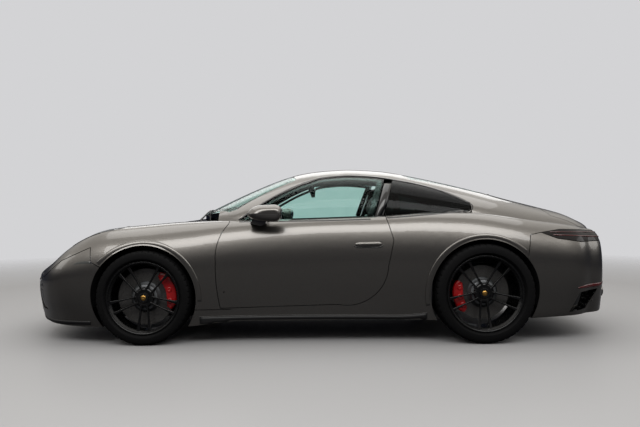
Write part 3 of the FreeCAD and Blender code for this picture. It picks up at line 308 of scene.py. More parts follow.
def machined_iron():
    """Grey cast iron turned on a lathe and swept by the pads: fine bright rings."""
    return grained("machined_iron", 4, "#545352", "#757370", (0.3, 0.45), 0.9)


def cast_aluminium():
    """Sand-cast aluminium, satin with a fine skin."""
    return grained("cast_aluminium", 3, "#5d5f61", "#76787a", (0.42, 0.58), 0.85, relief=(0.3, 0.4))


def brushed_steel():
    """Stainless tube, brushed along its length and slightly blued by heat."""
    return grained("brushed_steel", 90, "#8d8a86", "#a8a7a6", (0.22, 0.36), 1.0)


def stoved_primer():
    """Electro-dipped dark grey body primer, satin."""
    return grained("stoved_primer", 30, "#1d1d1f", "#29292b", (0.5, 0.65))


def moulded_black_plastic():
    """Injection-moulded ABS with a fine spark-eroded grain: matt black that hardly reflects."""
    return grained("moulded_black_plastic", 1.5, "#101011", "#1a1a1b", 0.55, relief=(0.2, 0.4))


def gloss_black_plastic():
    """Polished black acrylic over ABS, as on window trims."""
    return grained("gloss_black_plastic", 60, "#060607", "#0b0b0c", 0.08, Coat_Weight=0.5, Coat_Roughness=0.02)


def grained_leather():
    """Chrome-tanned cowhide: soft sheen, pebbled grain about a millimetre and a half across."""
    body = chosen("leather")

    def build(material):
        place = add_node(material, "ShaderNodeTexCoord")
        pebble = add_node(material, "ShaderNodeTexVoronoi", {"Vector": place.outputs["Object"],
                                                             "Scale": 1000 / 2.4}).outputs["Distance"]
        wear = grain(material, 70)
        return surface(material, between(material, wear, shade(body, 0.8), shade(body, 1.35)),
                       between(material, wear, 0.42, 0.55), Normal=bump(material, pebble, 0.35, 0.4),
                       Sheen_Weight=0.08, Sheen_Roughness=0.4)
    return finish("grained_leather", build)


SLOT_FINISH = {
    "paint": metallic_clear_coat, "glass": tinted_glass, "tyre": tyre_rubber, "rim": gloss_black_enamel,
    "disc": machined_iron, "caliper": caliper_enamel, "lamp": clear_polycarbonate, "tail_lamp": smoked_acrylic,
    "structure": stoved_primer, "running_gear": cast_aluminium, "engine": cast_aluminium,
    "exhaust": brushed_steel, "interior": moulded_black_plastic, "leather": grained_leather,
    "trim": gloss_black_plastic,
}


# Making and placing pieces

def piece(name, mesh, material, body="root", smooth=True):
    """A new object from a mesh, finished and riding on a body."""
    thing = bpy.data.objects.new(name, mesh)
    bpy.context.collection.objects.link(thing)
    mesh.materials.clear()
    mesh.materials.append(material)
    for face in mesh.polygons:
        face.use_smooth = smooth
    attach(thing, body)
    return thing


def mesh_of(shape, name="piece"):
    """A mesh from a bmesh, with its faces turned outward."""
    bmesh.ops.recalc_face_normals(shape, faces=shape.faces)
    mesh = bpy.data.meshes.new(name)
    shape.to_mesh(mesh)
    shape.free()
    return mesh


def softened(thing, width, segments=2, angle=35):
    """Rounds a piece's edges and shades it by its faces."""
    edge = thing.modifiers.new("edges", "BEVEL")
    edge.width = width
    edge.segments = segments
    edge.limit_method = "ANGLE"
    edge.angle_limit = math.radians(angle)
    edge.harden_normals = True
    return thing


def subdivided(thing, levels=1):
    step = thing.modifiers.new("smooth", "SUBSURF")
    step.levels = levels
    step.render_levels = levels
    return thing


def polar(radius, angle):
    """The two coordinates across an axle of a place at a radius and an angle."""
    return radius * math.cos(angle), radius * math.sin(angle)


def loft(sections, closed=True, capped=True, looped=False, shape=None):
    """A skin through rows of points: closed joins each row's end to its start, looped the last row to the
    first, and capped fills the end rows. It is added to a shape, if one is given."""
    if shape is None:
        shape = bmesh.new()
    rows = [[shape.verts.new(point) for point in row] for row in sections]
    if looped:
        rows.append(rows[0])
    count = len(rows[0])
    for first, second in zip(rows, rows[1:]):
        for i in range(count if closed else count - 1):
            j = (i + 1) % count
            shape.faces.new((first[i], first[j], second[j], second[i]))
    if capped:
        shape.faces.new(rows[0])
        shape.faces.new(rows[-1])
    return shape


def turned(profile, steps, place):
    """A closed profile of (outward, radius) points turned round an axle."""
    return loft([[place(out, *polar(radius, math.tau * i / steps)) for out, radius in profile]
                 for i in range(steps)], capped=False, looped=True)


def bar(path, half_width, half_depth, across, round_off=0.35):
    """Rows of an eight-sided section along a path. The halves are one number, or one for each point; across is
    the width's direction."""
    rows = []
    for k, point in enumerate(path):
        ahead = path[min(k + 1, len(path) - 1)]
        behind = path[max(k - 1, 0)]
        run = (ahead - behind).normalized()
        wide = (across - run * across.dot(run)).normalized()
        deep = run.cross(wide)
        w, d = (half[k] if isinstance(half, (list, tuple)) else half for half in (half_width, half_depth))
        cut = round_off * min(w, d)
        rows.append([point + wide * a + deep * b for a, b in (
            (w, d - cut), (w - cut, d), (cut - w, d), (-w, d - cut), (-w, cut - d), (cut - w, -d), (w - cut, -d),
            (w, cut - d))])
    return rows


def lofted(name, rows, material, body="root"):
    """A piece through rows of points."""
    return piece(name, mesh_of(loft(rows)), material, body)


def rod(name, path, width, depth, across, material, body="root", round_off=0.35):
    """A piece with an eight-sided section along a path."""
    return lofted(name, bar(path, width, depth, across, round_off), material, body)


def lathe(name, profile, steps, place, material, body="root"):
    """A piece turned round an axle."""
    return piece(name, mesh_of(turned(profile, steps, place)), material, body)


def tube(name, points, radius, material, body="root", resolution=6):
    """A round rod or bead along a smooth line of points."""
    curve = bpy.data.curves.new(name, "CURVE")
    curve.dimensions = "3D"
    curve.bevel_depth = radius
    curve.bevel_resolution = 3
    curve.use_fill_caps = True
    line = curve.splines.new("NURBS")
    line.points.add(len(points) - 1)
    for spot, point in zip(line.points, points):
        spot.co = (*point, 1.0)
    line.order_u = 3
    line.use_endpoint_u = True
    line.resolution_u = resolution
    holder = bpy.data.objects.new(name + "_line", curve)
    mesh = bpy.data.meshes.new_from_object(holder)
    bpy.data.objects.remove(holder)
    return piece(name, mesh, material, body)


def skin_of(*names):
    """A ray-casting tree of some CAD nodes."""
    points = []
    faces = []
    for name in names:
        mesh = NODES[name].data
        start = len(points)
        points += [vertex.co.copy() for vertex in mesh.vertices]
        faces += [tuple(start + i for i in face.vertices) for face in mesh.polygons]
    return BVHTree.FromPolygons(points, faces)


REACH = 0.55  # from where a ray starts to about where the skin is
ABOVE = 1.6  # height from which rays look down on the car


def placed(origin, out, east, north):
    """A function that turns distances along three directions from an origin into a point."""
    def place(along, a, b):
        return origin + out * along + east * a + north * b
    return place


def on_skin(tree, origin, direction, lift=0.0):
    """Where a ray meets the skin, lifted off it along its normal, and that normal."""
    direction = Vector(direction).normalized()
    spot, normal, index, distance = tree.ray_cast(Vector(origin), direction)
    if spot is None:
        spot, normal, index, distance = tree.find_nearest(Vector(origin) + direction * REACH)
    if normal.dot(direction) > 0:
        normal = -normal
    return spot + normal * lift, normal


# Wheels: centre x, half track, centre z, tyre radius, half tyre width, rim radius, hub and spoke faces outward
WHEELS = {
    "front": SimpleNamespace(x=-1.2665, out=0.7955, z=0.33975, tyre=0.33975, half=0.1225, rim=0.254,
                             hub=0.050, face=0.084, disc=0.204),
    "rear": SimpleNamespace(x=1.1835, out=0.7785, z=0.3582, tyre=0.3582, half=0.1525, rim=0.2667,
                            hub=0.062, face=0.108, disc=0.195),
}


def wheel_place(wheel, side):
    """Turns (outward, rearward, up) from a wheel's centre into a point."""
    def place(out, x, z):
        return Vector((wheel.x + x, side * (wheel.out + out), wheel.z + z))
    return place


def each_wheel():
    """Each wheel's measures, its placing function and its name, such as front_left."""
    for end in AXLES:
        for side, word in SIDES:
            yield WHEELS[end], wheel_place(WHEELS[end], side), "%s_%s" % (end, word)


class COUPE_OT_tyres(bpy.types.Operator):
    """Tyres with a moulded tread and ribbed walls"""
    bl_idname = "coupe.tyres"
    bl_label = "Tyres"

    STEPS = 288
    BLOCK = 6  # steps from one cross cut of the tread to the next
    CUT = 0.0055  # depth of a cross cut
    GROOVES = (0.60, 0.22)  # places of the round grooves, as shares of the half width

    def profile(self, wheel, dig=0.0):
        """Half of it is tread; dig is how far the cross cuts go in here."""
        r = wheel.tyre
        h = wheel.half
        foot = h * 0.88 - 0.009
        bead = wheel.rim + 0.0005
        right = [(foot, bead), (foot + 0.003, bead + 0.012), (h * 0.965, bead + 0.022), (h * 0.985, bead + 0.026),
                 (h * 0.99, (r + bead) / 2 - 0.008), (h * 0.975, r - 0.030), (h * 0.94, r - 0.016),
                 (h * 0.915, r - 0.0105 - dig), (h * 0.87, r - 0.0065 - dig), (h * 0.80, r - 0.0038 - dig)]
        for place in self.GROOVES:
            edge = r - 0.0035 * place
            right += [(h * (place + 0.055), edge), (h * (place + 0.045), edge - 0.007),
                      (h * (place - 0.045), edge - 0.007), (h * (place - 0.055), edge + 0.0003)]
        left = [(-out, radius) for out, radius in reversed(right)]
        inside = [(-foot + 0.014, bead), (-foot + 0.008, r - 0.024), (foot - 0.008, r - 0.024), (foot - 0.014, bead)]
        return right + left + inside

    def execute(self, context):
        for wheel, place, name in each_wheel():
            flat = self.profile(wheel)
            cut = self.profile(wheel, self.CUT)
            rows = [[place(out, *polar(radius, math.tau * i / self.STEPS))
                     for out, radius in (flat if i % self.BLOCK else cut)] for i in range(self.STEPS)]
            thing = piece("tyre_%s_tread" % name, mesh_of(loft(rows, capped=False, looped=True)), tyre_rubber(),
                          "wheel_" + name)
            crease = thing.modifiers.new("creases", "EDGE_SPLIT")
            crease.split_angle = math.radians(28)
            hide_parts("tyre_" + name)
        return {"FINISHED"}


class COUPE_OT_rims(bpy.types.Operator):
    """Wheels with five pairs of thin spokes, a stepped barrel and a centre nut"""
    bl_idname = "coupe.rims"
    bl_label = "Wheel rims"

    def barrel(self, wheel):
        r = wheel.rim
        w = wheel.half * 0.88
        return [(-w, r), (-w, r + 0.0075), (-w + 0.005, r + 0.0075), (-w + 0.009, r - 0.0005),
                (-w + 0.032, r - 0.004), (w - 0.032, r - 0.004), (w - 0.009, r - 0.0005),
                (w - 0.005, r + 0.0075), (w - 0.001, r + 0.008), (w, r + 0.006), (w - 0.001, r - 0.002),
                (w - 0.005, r - 0.005), (w - 0.012, r - 0.0065), (w - 0.013, r - 0.010), (w - 0.028, r - 0.012),
                (w - 0.029, r - 0.016), (w - 0.048, r - 0.018), (w - 0.049, r - 0.0145),
                (-w + 0.05, r - 0.013), (-w + 0.02, r - 0.010)]

    def spoke(self, wheel, place, angle, lean):
        root, tip = 0.052, wheel.rim - 0.014
        path = []
        widths = []
        depths = []
        for k in range(9):
            t = k / 8
            radius = root + (tip - root) * t
            out = wheel.hub + 0.006 + (wheel.face - wheel.hub - 0.016) * t ** 1.7
            aside = lean * (0.0215 + 0.020 * t)
            path.append(place(out, radius * math.cos(angle) - aside * math.sin(angle),
                              radius * math.sin(angle) + aside * math.cos(angle)))
            widths.append(0.0092 - 0.0035 * math.sin(math.pi * min(t * 1.15, 1.0)) + 0.003 * t ** 4)
            depths.append(0.015 - 0.006 * t)
        wide = place(0, -math.sin(angle), math.cos(angle)) - place(0, 0, 0)
        return bar(path, widths, depths, wide)

    def execute(self, context):
        for wheel, place, name in each_wheel():
            body = "wheel_" + name
            node = "rim_" + name
            base = lathe(node + "_barrel", self.barrel(wheel), 144, place, gloss_black_enamel(), body)
            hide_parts(node)
            shape = bmesh.new()
            for pair in range(5):
                for lean in (-1, 1):
                    loft(self.spoke(wheel, place, math.radians(-90 + 72 * pair), lean), shape=shape)
            softened(piece(node + "_spokes", mesh_of(shape), gloss_black_enamel(), body), 0.0015)
            h = wheel.hub
            hub = [(h - 0.004, 0.001), (h - 0.004, 0.072), (h + 0.006, 0.0735), (h + 0.016, 0.066),
                   (h + 0.020, 0.052), (h + 0.016, 0.046), (h + 0.017, 0.040), (h + 0.019, 0.001)]
            lathe(node + "_hub", hub, 96, place, gloss_black_enamel(), body)
            self.nut(place, h + 0.017, node, body)
        return {"FINISHED"}

    def nut(self, place, start, node, body):
        """A notched centre nut with a domed cap in it."""
        steps = 72
        rows = [[place(start + out, *polar(radius - (0.0028 if notched and i % 6 < 2 else 0.0), math.tau * i / steps))
                 for i in range(steps)]
                for out, radius, notched in ((0, 0.0372, False), (0.004, 0.0375, True), (0.019, 0.0352, True),
                                             (0.021, 0.0335, True), (0.021, 0.0225, False), (0.016, 0.0205, False))]
        softened(lofted(node + "_nut", rows, anodised_black(), body), 0.0006, 2, 30)
        dome = [(start + 0.015, 0.0195), (start + 0.018, 0.0195), (start + 0.0205, 0.0165), (start + 0.0222, 0.011),
                (start + 0.023, 0.005), (start + 0.0231, 0.0003), (start + 0.015, 0.0003)]
        lathe(node + "_cap", dome, 48, place, plated_brass(), body)


class COUPE_OT_brakes(bpy.types.Operator):
    """Drilled and vented brake discs"""
    bl_idname = "coupe.brakes"
    bl_label = "Brakes"

    RINGS = 7
    SPOTS = 54
    LOW = 0.112  # inner radius of the rubbed faces
    VANES = 60

    def drilled(self, shape, place, out, deep, high):
        """One rubbed face with rows of drilled holes."""
        def spot(ring, step, depth=out):
            return place(depth, *polar(self.LOW + (high - self.LOW) * ring / self.RINGS,
                                       math.tau * step / self.SPOTS))
        known = {}

        def corner(ring, step):
            key = (round(ring * 2), round(step * 2) % (2 * self.SPOTS))
            if key not in known:
                known[key] = shape.verts.new(spot(ring, step))
            return known[key]
        for ring in range(self.RINGS):
            for step in range(self.SPOTS):
                rim = [corner(ring + a, step + b) for a, b in (
                    (0, 0), (0, 0.5), (0, 1), (0.5, 1), (1, 1), (1, 0.5), (1, 0), (0.5, 0))]
                if (step + 2 * ring) % 3 or ring in (0, self.RINGS - 1):
                    shape.faces.new(rim)
                    continue
                hole = []
                floor = []
                for a, b in ((-1, -1), (-1, 0), (-1, 1), (0, 1), (1, 1), (1, 0), (1, -1), (0, -1)):
                    size = 0.24 if a and b else 0.33
                    at = (ring + 0.5 + a * size * 0.62, step + 0.5 + b * size * 0.5)
                    hole.append(shape.verts.new(spot(*at)))
                    floor.append(shape.verts.new(spot(*at, deep)))
                for i in range(8):
                    j = (i + 1) % 8
                    shape.faces.new((rim[i], rim[j], hole[j], hole[i]))
                    shape.faces.new((hole[i], hole[j], floor[j], floor[i]))

    def hoop(self, shape, place, *edges):
        """A plain band between two circles, each (outward, radius)."""
        steps = 2 * self.SPOTS
        loft([[place(out, *polar(radius, math.tau * i / steps)) for i in range(steps)] for out, radius in edges],
             capped=False, shape=shape)

    def execute(self, context):
        low = self.LOW
        for wheel, place, name in each_wheel():
            high = wheel.disc
            inner = wheel.hub - 0.082
            outer = wheel.hub - 0.048
            body = "wheel_" + name
            node = "disc_" + name
            shape = bmesh.new()
            for face, back in ((outer, outer - 0.009), (inner, inner + 0.009)):
                self.drilled(shape, place, face, back, high)
            for first, last in ((inner, inner + 0.010), (outer - 0.010, outer)):
                for radius in (low, high):
                    self.hoop(shape, place, (first, radius), (last, radius))
            for out in (inner + 0.010, outer - 0.010):
                self.hoop(shape, place, (out, low), (out, high))
            rubbed = piece(node + "_drilled", mesh_of(shape), machined_iron(), body, smooth=False)
            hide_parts(node)
            vanes = bmesh.new()
            for i in range(self.VANES):
                angle = math.tau * i / self.VANES
                path = [place((inner + outer) / 2, *polar(radius, angle + twist))
                        for radius, twist in ((low + 0.003, 0.0), ((low + high) / 2, 0.06), (high - 0.004, 0.14))]
                loft(bar(path, 0.0016, 0.0078, Vector((-math.sin(angle), 0, math.cos(angle)))), shape=vanes)
            piece(node + "_vanes", mesh_of(vanes), machined_iron(), body)
            hat = [(outer - 0.012, 0.120), (outer - 0.003, 0.120), (outer - 0.003, 0.098), (wheel.hub - 0.008, 0.092),
                   (wheel.hub - 0.0045, 0.088), (wheel.hub - 0.0045, 0.021), (wheel.hub - 0.012, 0.021),
                   (wheel.hub - 0.012, 0.082), (outer - 0.012, 0.090)]
            lathe(node + "_hat", hat, 72, place, cast_aluminium(), body)
        return {"FINISHED"}


class COUPE_OT_arches(bpy.types.Operator):
    """Rolled lips round the wheel openings"""
    bl_idname = "coupe.arches"
    bl_label = "Wheel arch lips"

    # end, arch radius, node, and the angles where the lip starts and ends
    SPANS = (("front", 0.377, "fender", -4, 142), ("rear", 0.390, "body_side", 38, 192))
    # the lip's section: how far outside the arch, and how far off the skin
    SECTION = ((0.0400, 0.0002), (0.0370, 0.0042), (0.0345, 0.0056), (0.0240, 0.0042), (0.0120, 0.0022),
               (0.0020, -0.0010), (0.0004, -0.0060), (0.0012, -0.0105), (0.012, -0.0085))

    def lip(self, tree, side, wheel, radius, low, high):
        steps = max(int((high - low) / 2.0), 8)
        rows = []
        for i in range(steps + 1):
            angle = math.radians(low + (high - low) * i / steps)
            ease = min(1.0, i / 3, (steps - i) / 3)
            row = []
            for out, stand in self.SECTION:
                x, z = polar(radius + out, angle)
                probe_x, probe_z = polar(radius + max(out, 0.010), angle)
                spot = on_skin(tree, (wheel.x + probe_x, side * 1.2, wheel.z + probe_z), (0, -side, 0))[0]
                row.append(Vector((wheel.x + x, spot.y + side * stand * (ease if stand > 0 else 1), wheel.z + z)))
            rows.append(row)
        return rows

    def execute(self, context):
        for end, radius, stem, low, high in self.SPANS:
            for side, word in SIDES:
                rows = self.lip(skin_of("%s_%s" % (stem, word)), side, WHEELS[end], radius, low, high)
                lofted("%s_%s_%s_lip" % (stem, end, word), rows, metallic_clear_coat())
        return {"FINISHED"}


class COUPE_OT_skirts(bpy.types.Operator):
    """Black sill blades, the lower lip of the nose, its corner slots and light bars"""
    bl_idname = "coupe.skirts"
    bl_label = "Skirts"

    def round_nose(self, name, tree, span, heights, rise, count, material, slot="trim"):
        """A band round the nose bumper between two angles, at the side = 90 degrees, and two heights."""
        rows = []
        for k in range(count):
            angle = math.radians(span[0] + (span[1] - span[0]) * k / (count - 1))
            away = Vector((-math.cos(angle), math.sin(angle), 0))
            start = Vector((-1.62 - 0.75 * math.cos(angle), 0.95 * math.sin(angle), 0)) + away * 0.4
            front = []
            back = []
            for i in range(4):
                z = heights[0] + (heights[1] - heights[0]) * i / 3
                spot, normal = on_skin(tree, start + Vector((0, 0, z)), -away)
                spot = Vector((spot.x, spot.y, z))
                flat = Vector((normal.x, normal.y, 0)).normalized()
                front.append(spot + flat * (rise if 0 < i < 3 else rise * 0.4))
                back.append(spot - flat * 0.002)
            rows.append(front + back[::-1])
        lofted(name, rows, material)

    def execute(self, context):
        bumper = skin_of("front_bumper")
        self.round_nose("nose_lip", bumper, (-86, 86), (0.1400, 0.1680), 0.0060, 91, moulded_black_plastic())
        for side, word in SIDES:
            self.round_nose("corner_slot_%s" % word, bumper, sorted((side * 38, side * 50)), (0.235, 0.505), 0.0016, 14,
                            gloss_black_plastic())
            self.round_nose("light_bar_%s" % word, bumper, sorted((side * 16, side * 37)), (0.424, 0.442), 0.0030, 20,
                            satin_chrome(), "lamp")
            tree = skin_of("body_side_%s" % word)
            low = []
            high = []
            for k in range(61):
                t = k / 60
                x = -0.868 + 1.640 * t
                rise = 0.006 * math.sin(math.pi * t) + 0.022 * max(0.0, (t - 0.86) / 0.14) ** 2
                low.append((x, side * 1.2, 0.136))
                high.append((x, side * 1.2, 0.196 + rise))
            laid_band("sill_blade_%s" % word, tree, low, high, (0, -side, 0), moulded_black_plastic(), rise=0.0058,
                      across=5, rim=0.5)
            line = [on_skin(tree, (x, y, z + 0.0035), (0, -side, 0), 0.0012)[0] for x, y, z in high]
            tube("sill_edge_%s" % word, line, 0.0024, gloss_black_plastic(), resolution=1)
        return {"FINISHED"}


class COUPE_OT_grilles(bpy.types.Operator):
    """Slats in the nose openings, and the parking sensors of the nose"""
    bl_idname = "coupe.grilles"
    bl_label = "Grilles"

    AHEAD = -3.0  # where rays towards the nose start
    SENSORS = ((-0.60, 0.475), (-0.25, 0.452), (0.25, 0.452), (0.60, 0.475))
    SENSOR = [(-0.003, 0.0092), (0.0008, 0.0090), (0.0014, 0.0078), (0.0006, 0.0072), (0.0006, 0.0003),
              (-0.003, 0.0003)]

    def slats(self, name, grille, low, pitch, first, last, count, wide, deep):
        """Three level slats, one above the other, from side to side of an opening."""
        for k in range(3):
            path = [on_skin(grille, (self.AHEAD, first + (last - first) * i / (count - 1), low + pitch * k), (1, 0, 0),
                            0.004)[0] for i in range(count)]
            rod("nose_slat_%s_%d" % (name, k), path, wide, deep, Vector((1, 0, -0.5)), gloss_black_plastic(),
                round_off=0.4)

    def execute(self, context):
        grille = skin_of("front_grilles")
        for side, word in SIDES:
            self.slats(word, grille, 0.285, 0.048, side * 0.478, side * 0.663, 9, 0.010, 0.0030)
        self.slats("middle", grille, 0.262, 0.028, -0.380, 0.380, 17, 0.009, 0.0026)
        bumper = skin_of("front_bumper")
        for k, (y, z) in enumerate(self.SENSORS):
            spot, out = on_skin(bumper, (self.AHEAD, y, z), (1, 0, 0))
            east = out.cross(Vector((0, 0, 1))).normalized()
            lathe("sensor_%d" % k, self.SENSOR, 28, placed(spot, out, east, out.cross(east)), moulded_black_plastic())
        return {"FINISHED"}


class COUPE_OT_bench(bpy.types.Operator):
    """Rear seats: two padded cushions and backs on the bench"""
    bl_idname = "coupe.bench"
    bl_label = "Rear seats"

    # sections from the front down to the back: how far behind the bench's front, how high over its foot, and
    # what share of the dish each point takes, rearward and downward
    CUSHION = ((0.02, 0.02, 0, 0), (0.012, 0.085, 0, 0), (0.045, 0.118, 0, 0.4), (0.15, 0.116, 0, 1),
               (0.26, 0.106, 0, 1), (0.30, 0.03, 0, 0))
    BACK = ((0.250, 0.100, 0, 0), (0.238, 0.140, 1, 0), (0.262, 0.26, 1, 0), (0.300, 0.38, 0.6, 0),
            (0.336, 0.420, 0, 0), (0.362, 0.395, 0, 0), (0.330, 0.25, 0, 0), (0.306, 0.110, 0, 0))

    def execute(self, context):
        low, high = (Vector(corner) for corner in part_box("rear_bench"))
        for side, word in SIDES:
            inner, outer = side * 0.090, side * (min(abs(low.y), abs(high.y)) - 0.016)
            for stem, section, depth, spare in (("cushion", self.CUSHION, 0.020, 0.1),
                                                ("back", self.BACK, 0.018, -0.004)):
                rows = []
                for k in range(9):
                    dish = depth * math.sin(math.pi * k / 8)
                    rows.append([Vector((min(low.x + reach + dish * back, high.x + spare),
                                         inner + (outer - inner) * k / 8,
                                         min(low.z + up - dish * down, high.z + spare)))
                                 for reach, up, back, down in section])
                subdivided(lofted("rear_%s_%s" % (stem, word), rows, grained_leather()), 2)
        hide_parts("rear_bench")
        return {"FINISHED"}


class COUPE_OT_calipers(bpy.types.Operator):
    """Crescent calipers with piston domes, a bridge and their bolts"""
    bl_idname = "coupe.calipers"
    bl_label = "Brake calipers"

    # end, replaced node, body, and the middle and half span as angles
    PLACES = (("front", "caliper_front_%s", "knuckle_%s", 17, 42), ("rear", "rear_calipers", "root", 190, 36))
    # profiles outward from the face: the domes over the pistons and the bolts at the ends
    DOME = ((-0.006, 0.0205), (0.0015, 0.0200), (0.0038, 0.0170), (0.0042, 0.0110), (0.0030, 0.0070),
            (0.0028, 0.0004), (-0.006, 0.0004))
    BOLT = ((-0.012, 0.0065), (-0.004, 0.0065), (-0.002, 0.0056), (-0.002, 0.0034), (-0.006, 0.0032),
            (-0.006, 0.0003), (-0.012, 0.0003))

    def shell(self, wheel, place, face, middle, half):
        """Sections of a bridge over the disc; both legs narrow towards the ends."""
        steps = 28
        rows = []
        for i in range(steps + 1):
            t = i / steps
            end = abs(2 * t - 1)
            tuck = 0.010 * end ** 4
            inner = wheel.disc - 0.052 + 0.020 * end ** 4
            top = wheel.disc + 0.023 - 0.016 * end ** 5
            profile = ((face - tuck, inner + 0.004), (face - tuck * 0.6, inner + 0.018), (face, top - 0.020),
                       (face - 0.004, top - 0.006), (face - 0.012, top), (face - 0.084, top),
                       (face - 0.093, top - 0.005), (face - 0.096, top - 0.018), (face - 0.096, inner + 0.004),
                       (face - 0.090, inner), (face - 0.070, inner), (face - 0.066, inner + 0.004),
                       (face - 0.066, wheel.disc + 0.007), (face - 0.026, wheel.disc + 0.007),
                       (face - 0.026, inner + 0.004), (face - 0.022, inner), (face - tuck - 0.005, inner))
            angle = math.radians(middle - half + 2 * half * t)
            rows.append([place(out, *polar(r, angle)) for out, r in profile])
        return rows

    def execute(self, context):
        for end, node, body, middle, half in self.PLACES:
            wheel = WHEELS[end]
            face = wheel.hub - 0.019
            for side, word in SIDES:
                place = wheel_place(wheel, side)
                name = "caliper_%s_%s" % (end, word)
                rider = body % word if "%" in body else body
                main = lofted(name + "_shell", self.shell(wheel, place, face, middle, half), caliper_enamel(), rider)
                softened(main, 0.0025, 3, 30)
                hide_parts(node % word if "%" in node else node)
                for stem, profile, reach, spreads, steps, make in (
                        ("dome", self.DOME, wheel.disc - 0.024, (-0.62, 0.0, 0.62), 40, caliper_enamel),
                        ("bolt", self.BOLT, wheel.disc - 0.008, (-0.93, 0.93), 12, brushed_steel)):
                    for k, spread in enumerate(spreads):
                        x, z = polar(reach, math.radians(middle + half * spread))

                        def spot(out, across_x, across_z):
                            return place(face + out, x + across_x, z + across_z)
                        lathe("%s_%s_%d" % (name, stem, k), profile, steps, spot, make(), rider)
        return {"FINISHED"}


def laid_band(name, tree, low, high, look, material, body="root", rise=0.0016, across=3, edge=0.0012,
              rim=0.35):
    """A piece laid on a skin: a raised band between two lines of the same number of places. It stands off by
    rise, and by a share rim of it along both lines, and reaches into the skin by edge."""
    rows = []
    for a, b in zip(low, high):
        front = []
        back = []
        for k in range(across + 1):
            spot, normal = on_skin(tree, Vector(a).lerp(Vector(b), k / across), look)
            front.append(spot + normal * (rise if 0 < k < across else rise * rim))
            back.append(spot - normal * edge)
        rows.append(front + back[::-1])
    return lofted(name, rows, material, body)


def frit_and_shade_band(name, tree, low, high, look, body="root", across=3):
    """The enamelled edge of a pane, laid on its inner face; along the door glass's top edge the same black band is
    painted shade.
    """
    return laid_band(name, tree, low, high, look, fired_black_enamel(), body, rise=-0.0058, across=across, edge=0.0072,
                     rim=1.0)


def smooth_line(points, count):
    """Places evenly along a rounded line through points."""
    spline = bpy.data.curves.new("line", "CURVE")
    spline.dimensions = "3D"
    run = spline.splines.new("BEZIER")
    run.bezier_points.add(len(points) - 1)
    for knot, point in zip(run.bezier_points, points):
        knot.co = point
        knot.handle_left_type = "AUTO"
        knot.handle_right_type = "AUTO"
    run.resolution_u = 24
    holder = bpy.data.objects.new("line", spline)
    mesh = bpy.data.meshes.new_from_object(holder)
    spots = [vertex.co.copy() for vertex in mesh.vertices]
    bpy.data.objects.remove(holder)
    bpy.data.meshes.remove(mesh)
    lengths = [0.0]
    for first, second in zip(spots, spots[1:]):
        lengths.append(lengths[-1] + (second - first).length)
    result = []
    for i in range(count):
        goal = lengths[-1] * i / (count - 1)
        k = 0
        while k < len(lengths) - 2 and lengths[k + 1] < goal:
            k += 1
        share = (goal - lengths[k]) / max(lengths[k + 1] - lengths[k], 1e-9)
        result.append(spots[k].lerp(spots[k + 1], min(max(share, 0.0), 1.0)))
    return result


def side_line(side, points, count, out=1.3):
    """A rounded line in side view, given as (x, z), standing off one side of the car."""
    return smooth_line([(x, side * out, z) for x, z in points], count)


# The side window's outline in side view: x, z, from the front foot over the roof to the tail and back along the belt
WINDOW_TOP = [(-0.6025, 0.886), (-0.46, 0.990), (-0.3065, 1.082), (-0.16, 1.152), (0.0035, 1.208), (0.12, 1.223),
              (0.2335, 1.228), (0.42, 1.215), (0.6175, 1.184), (0.78, 1.148), (0.9235, 1.105), (1.05, 1.050),
              (1.1315, 1.004)]
WINDOW_TAIL = [(1.1315, 1.004), (1.142, 0.986), (1.1335, 0.966), (1.105, 0.957), (1.0685, 0.955)]
WINDOW_BELT = [(1.0685, 0.955), (0.88, 0.938), (0.62, 0.917), (0.3835, 0.900)]
# The outer and inner edges of the lined panel inside the rear quarter
QUARTER_OUTER = [(0.545, 0.925), (0.585, 1.180), (0.78, 1.143), (0.9235, 1.100), (1.05, 1.045), (1.125, 0.995),
                 (1.120, 0.965), (1.0685, 0.960), (0.88, 0.943), (0.545, 0.925)]
QUARTER_INNER = [(0.600, 0.955), (0.625, 1.128), (0.78, 1.106), (0.88, 1.076), (0.98, 1.030), (1.030, 0.998),
                 (1.025, 0.986), (0.98, 0.981), (0.86, 0.972), (0.600, 0.955)]


def beside(line, width):
    """The same line in side view moved sideways; positive is to the left of its run."""
    moved = []
    for k, point in enumerate(line):
        run = line[min(k + 1, len(line) - 1)] - line[max(k - 1, 0)]
        moved.append(point + Vector((-run.z, 0, run.x)).normalized() * width)
    return moved


